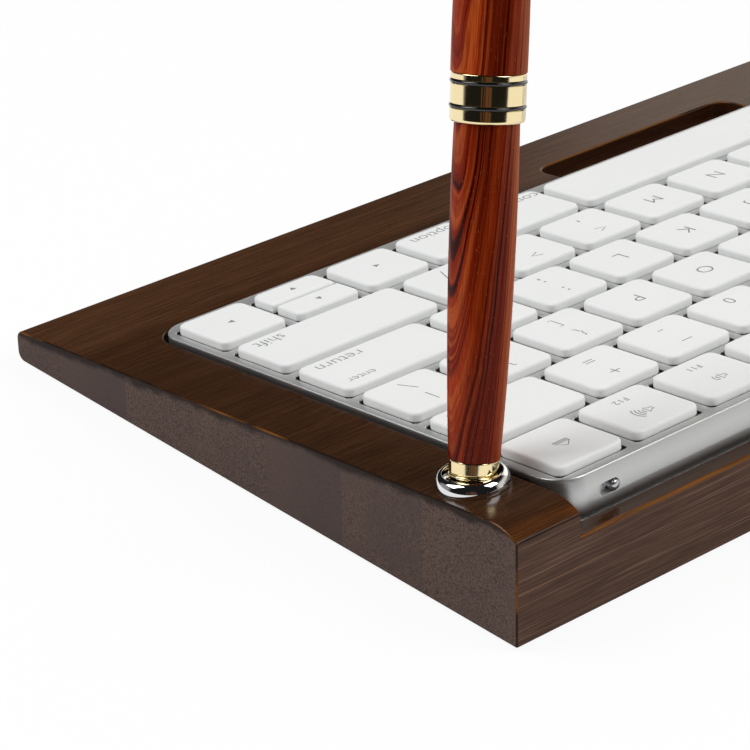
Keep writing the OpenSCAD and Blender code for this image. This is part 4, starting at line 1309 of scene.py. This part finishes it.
def fitting_outline():
    """Outside of the gold, from the tip up; the axis closes it."""
    points = [(0.35, NOSE_Z), (1.2, NOSE_Z + 0.35), (CORE_R, NOSE_Z + 3.0), (CORE_R, SHOULDER_Z)]
    points += [(4.1, SHOULDER_Z)] + arc(4.22, SHOULDER_Z + 0.33, 0.33, -90, 75, 8)
    points += [(4.18, SHOULDER_Z + 0.7), (4.28, SHOULDER_Z + 0.74), (4.36, SHOULDER_Z + 0.82)]
    points += [(COLLAR_R, SHOULDER_Z + 0.92), (COLLAR_R, SHOULDER_Z + 0.98)]
    points += [(COLLAR_R, LOWER_Z - 0.21), (COLLAR_R, LOWER_Z - 0.15), (4.3, LOWER_Z)]
    points += [(CORE_R, LOWER_Z + 0.02), (CORE_R, BAND_Z - 0.02)]
    points += [(5.75, BAND_Z)] + arc(BAND_R - 0.5, BAND_Z + 0.5, 0.5, -90, 0, 8) + [(BAND_R, BAND_Z + 0.56)]
    for z in RING_ZS:
        points += [(BAND_R, z - GROOVE), (BAND_R - GROOVE, z - GROOVE)]
        points += [(BAND_R - GROOVE, z + GROOVE), (BAND_R, z + GROOVE)]
    points += [(BAND_R, UPPER_Z - 0.28)] + arc(BAND_R - 0.25, UPPER_Z - 0.25, 0.25, 0, 90, 5)
    points += [(CORE_R, UPPER_Z + 0.02), (CORE_R, FINIAL_Z - 0.02), (5.1, FINIAL_Z)]
    points += arc(5.05, FINIAL_Z + 0.25, 0.25, -90, 20, 4)
    points += [(5.0, FINIAL_Z + 0.7), (4.95, FINIAL_Z + 1.2)] + arc(4.6, FINIAL_Z + 1.9, 0.6, -40, 60, 5)
    points += [(4.3, FINIAL_Z + 3.0), (3.9, FINIAL_Z + 4.0), (3.2, FINIAL_Z + 5.0), (2.2, FINIAL_Z + 5.7)]
    return points + [(1.1, FINIAL_Z + 5.95), (0.3, FINIAL_Z + FINIAL_L)]


bm = bmesh.new()
spun(bm, fitting_outline(), ring=False)
print("fittings: faces", len(bm.faces))

# %% Clip
CLIP_Y, CLIP_T, CLIP_L, CLIP_STEPS = 6.6 + 0.6, 1.0, 34.0, 24
clip_top = FINIAL_Z + FINIAL_L / 3
sections = []
for i in range(CLIP_STEPS + 1):
    t = i / CLIP_STEPS
    z = clip_top - 0.5 - (CLIP_L - 1.0) * t
    half = 1.7 - 0.55 * t
    spread = 0.3 * math.sin(math.pi * t)
    ball = 0.75 * math.exp(-((t - 0.955) / 0.022) ** 2)
    y0, y1 = CLIP_Y + 0.05, CLIP_Y + CLIP_T - spread * 0.3 + ball * 0.8
    sections.append([(x, y, z) for x, y, _ in rounded_loop(-half, y0, half, y1, 0.35, 0, 4)])
loft(bm, sections)
bridge = [[(x, y, z) for x, z, _ in rounded_loop(-1.7, FINIAL_Z + 0.15, 1.7, clip_top, 0.3, 0, 4)]
          for y in (3.0, CLIP_Y + 0.6)]
loft(bm, bridge)
piece(finished(bm, "pen.fittings", [GOLD], TURNED_SHARP), "pen", PEN, "gold_plate", "pen_fittings")
print("clip is", CLIP_L, "mm long")

# %% Socket
FLANGE_R, FLANGE_WIDE, FLANGE_FOOT, FLANGE_HIGH = 5.5, 1.3, 0.25, 2.5
SLEEVE_R, DOME_Z = 3.45, -1.5
flange = [(5.05, 0.0), (5.05, 1.2), (5.16, 1.9), (5.24, 2.3)]
for turn in [math.radians(a) for a in range(97, -1, -6)]:
    flange.append((FLANGE_R + FLANGE_WIDE * math.cos(turn),
                   FLANGE_FOOT + (FLANGE_HIGH - FLANGE_FOOT) * math.sin(turn)))
flange += [(6.8, 0.15), (6.72, 0.0)]
sleeve = [(SLEEVE_R, 0.9), (SLEEVE_R, -13.2), (1.0, -13.3), (1.0, -14.0)]
sleeve += [(4.1, -14.0), (4.3, -13.7), (4.3, 0.9)]
dome = [(SLEEVE_R, SEAT_Z)]
for turn in [math.radians(9 * i) for i in range(11)]:
    dome.append((4.6 + 1.65 * math.sin(turn), DOME_Z + (SEAT_Z - DOME_Z) * math.cos(turn)))
dome.append((SLEEVE_R, DOME_Z))
lean_over = FLANGE.to_3x3().inverted().to_4x4() @ PEN.to_3x3().to_4x4()


def leaning(outline):
    """A turned ring round the pen's axis, in the flange's frame."""
    ring = bmesh.new()
    spun(ring, outline)
    return placed(ring, lean_over)


bm = bmesh.new()
spun(bm, flange)
above_wood = carved(leaning(dome), [block((-20, -20, -20), (20, 20, 0.02))])
for ring in (above_wood, leaning(sleeve)):
    shape = bpy.data.meshes.new("ring")
    ring.to_mesh(shape)
    ring.free()
    bm.from_mesh(shape)
    bpy.data.meshes.remove(shape)
piece(finished(bm, "tray.pen_socket", [CHROME], TURNED_SHARP), "tray", FLANGE, "chrome", "pen_socket")
print("socket flange", 2 * (FLANGE_R + FLANGE_WIDE), "mm across")

# %% [markdown]
# ## The hidden parts keep their CAD shape
#
# What lies inside or below the keyboard is seen only in the lifted poses. Its CAD shape is right, so those
# nodes stay as they are and only take a better material.

# %% Hidden parts
KEPT = {
    "bottom_cover": COVER_WHITE, "key_support_plate": STEEL, "membrane_sheet": FILM,
    "controller_board": BOARD, "battery_cells": JACKET, "battery_contacts": STEEL,
    "battery_cap": ALUMINIUM, "keyboard_feet": PAD_GREY, "case_screws": STEEL,
}
for node, material in KEPT.items():
    mesh = frame["nodes"][node].data
    mesh.materials.clear()
    mesh.materials.append(material)
print("kept CAD nodes:", len(KEPT))

# %% [markdown]
# ## Domes and links under the keys
#
# Under each cap sit a rubber dome, two crossed links and, below a wide cap, a wire bar. They fold as the key
# goes down, and a CAD node can't change its shape. So each key gets its own copy of the faces below its cap,
# and the copies stand for the CAD nodes.

# %% Parts under the keys
FOLDING = {
    "rubber_domes": (DOME_GREY, "dome_rubber"), "scissor_links": (LINK_WHITE, "white_plastic"),
    "stabiliser_bars": (STEEL, "steel"),
}
to_deck = DECK.inverted()


def key_above(point):
    """The key whose cap covers a point."""
    x, y, _ = to_deck @ point / MM
    return next(node for node, left, front, w, d in caps if left < x < left + w and front < y < front + d)


folding = 0
for source, (material, slot) in FOLDING.items():
    whole, shares = frame["nodes"][source].data, {}
    for face in whole.polygons:
        shares.setdefault(key_above(face.center), []).append(face)
    for node, faces in shares.items():
        used = sorted({v for face in faces for v in face.vertices})
        place = {v: i for i, v in enumerate(used)}
        mesh = bpy.data.meshes.new(source + "." + node)
        corners = [[place[v] for v in face.vertices] for face in faces]
        mesh.from_pydata([whole.vertices[v].co for v in used], [], corners)
        mesh.materials.append(material)
        mesh.shade_smooth()
        mesh.set_sharp_from_angle(angle=math.radians(30))
        made = piece(mesh, "keyboard", Matrix.Identity(4), slot, source)
        node + "_press"
        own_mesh(made)
        folding += 1
print("folding pieces:", folding)

# %% [markdown]
# ## Floor
#
# The floor is a large white sheet. More light would make it white too, but would bleach the keys. So its own
# colour is a pale grey-white that takes the soft shadow, and for rays that reach the camera, straight or by
# way of metal, most of it is plain white light of strength 1. Away from the object it is all white, so the
# floor has no edge against the world.

# %% Floor
FLOOR_HALF, FLOOR_Z = 3000, -0.05
SHADOW_REACH, ALL_WHITE, NEAR_WHITE = 250.0, 600.0, 0.92
bm = bmesh.new()
corners = [(sx * FLOOR_HALF, sy * FLOOR_HALF, FLOOR_Z) for sx, sy in ((-1, -1), (1, -1), (1, 1), (-1, 1))]
loft(bm, [corners], True, False)
paper = Finish("paper", Roughness=0.9)
tree = paper.material.node_tree
fibre = noise(paper.place * 0.02, 3, 0.5)
paper.set("Base Color", mixed(fibre, (0.86, 0.86, 0.86), (0.9, 0.9, 0.9)))
white = paper.surface.node("Emission")
straight, mirrored, through = [paper.surface.node("LightPath", out=f"Is {kind} Ray")
                               for kind in ("Camera", "Glossy", "Transmission")]
seen = straight + mirrored + through
share = seen.node("Clamp", None, {0: seen})
share = share * ranged(length_of(paper.place), SHADOW_REACH, ALL_WHITE, NEAR_WHITE, 1.0)
both = share.node("MixShader", None, {0: share, 1: paper.surface, 2: white})
tree.links.new(both.socket, tree.nodes["Material Output"].inputs["Surface"])
floor = bpy.data.objects.new("floor", finished(bm, "floor", [paper.material]))
scene.collection.objects.link(floor)
print("floor laid")

# %% [markdown]
# ## Light
#
# Shiny parts show what stands around them, so the world is a dim room with a few things in it: a pale wall at
# one end, a window beside it, a paler patch across the room and a warm chair behind the camera. A picture of
# a room would do as well, but a few soft shapes need no file. The world is white for the camera, and matt
# surfaces get an even fill from it, as they would from pale walls. Two soft boxes do the rest. Together they
# are set so that a white card lying on the floor renders about as white as it is.

# %% World
ROOM, WALL, WINDOW, PATCH, CHAIR, FILL = 0.012, 0.75, 0.8, 0.3, 0.12, 0.34
world = bpy.data.worlds.new("studio")
world.use_nodes = True
scene.world = world
tree = world.node_tree
background = tree.nodes["Background"]
sky = Sock(background.outputs[0])
way = sky.node("TexCoord", out="Generated")


def towards(x, y, z, from_cos, to_cos):
    """From 0 to 1 as a direction turns towards x, y, z."""
    aim = Vector((x, y, z)).normalized()
    dot = way.node("VectorMath", {"operation": "DOT_PRODUCT"}, {0: way, 1: tuple(aim)}, out="Value")
    return ranged(dot, from_cos, to_cos)


wall = towards(-1.0, 0.14, 0.1, 0.58, 0.8) * ranged(parts_of(way)[2], 0.6, 0.3)
window = towards(-0.89, -0.42, 0.17, 0.9, 0.93)
patch = towards(0.65, -0.75, 0.1, 0.88, 0.97)
chair = towards(0.74, 0.67, 0.12, 0.945, 0.975) * ranged(noise(way * (16.0, 16.0, 0.5), 1), 0.42, 0.58)
room = ROOM + wall * WALL + window * WINDOW + patch * PATCH + chair * CHAIR
shown, matt = [sky.node("LightPath", out=f"Is {kind} Ray") for kind in ("Camera", "Diffuse")]
level = room * (1 - shown) + shown + matt * FILL
tree.links.new(level.socket, background.inputs["Strength"])
tint = mixed((wall + window) * (1 - shown), (1.0, 1.0, 1.0), (1.0, 0.94, 0.85))
tint = mixed(chair * (1 - shown), tint, (1.0, 0.4, 0.14))
tree.links.new(tint.socket, background.inputs["Color"])
print("world lit")


# %% Soft boxes
AIM = Vector((0.0, 0.0, 0.02))


def soft_box(name, place, size, watts):
    """A soft lamp that looks at the object."""
    lamp = bpy.data.lights.new(name, "AREA")
    lamp.shape, lamp.size, lamp.size_y, lamp.energy = "RECTANGLE", size[0], size[1], watts
    made = bpy.data.objects.new(name, lamp)
    scene.collection.objects.link(made)
    made.location = place
    made.rotation_euler = (AIM - Vector(place)).to_track_quat("-Z", "Y").to_euler()


soft_box("box_right", (1.14, -0.8, 1.5), (1.1, 1.3), 22.6)
soft_box("box_rear", (-0.59, 1.26, 1.5), (1.0, 1.2), 18.6)
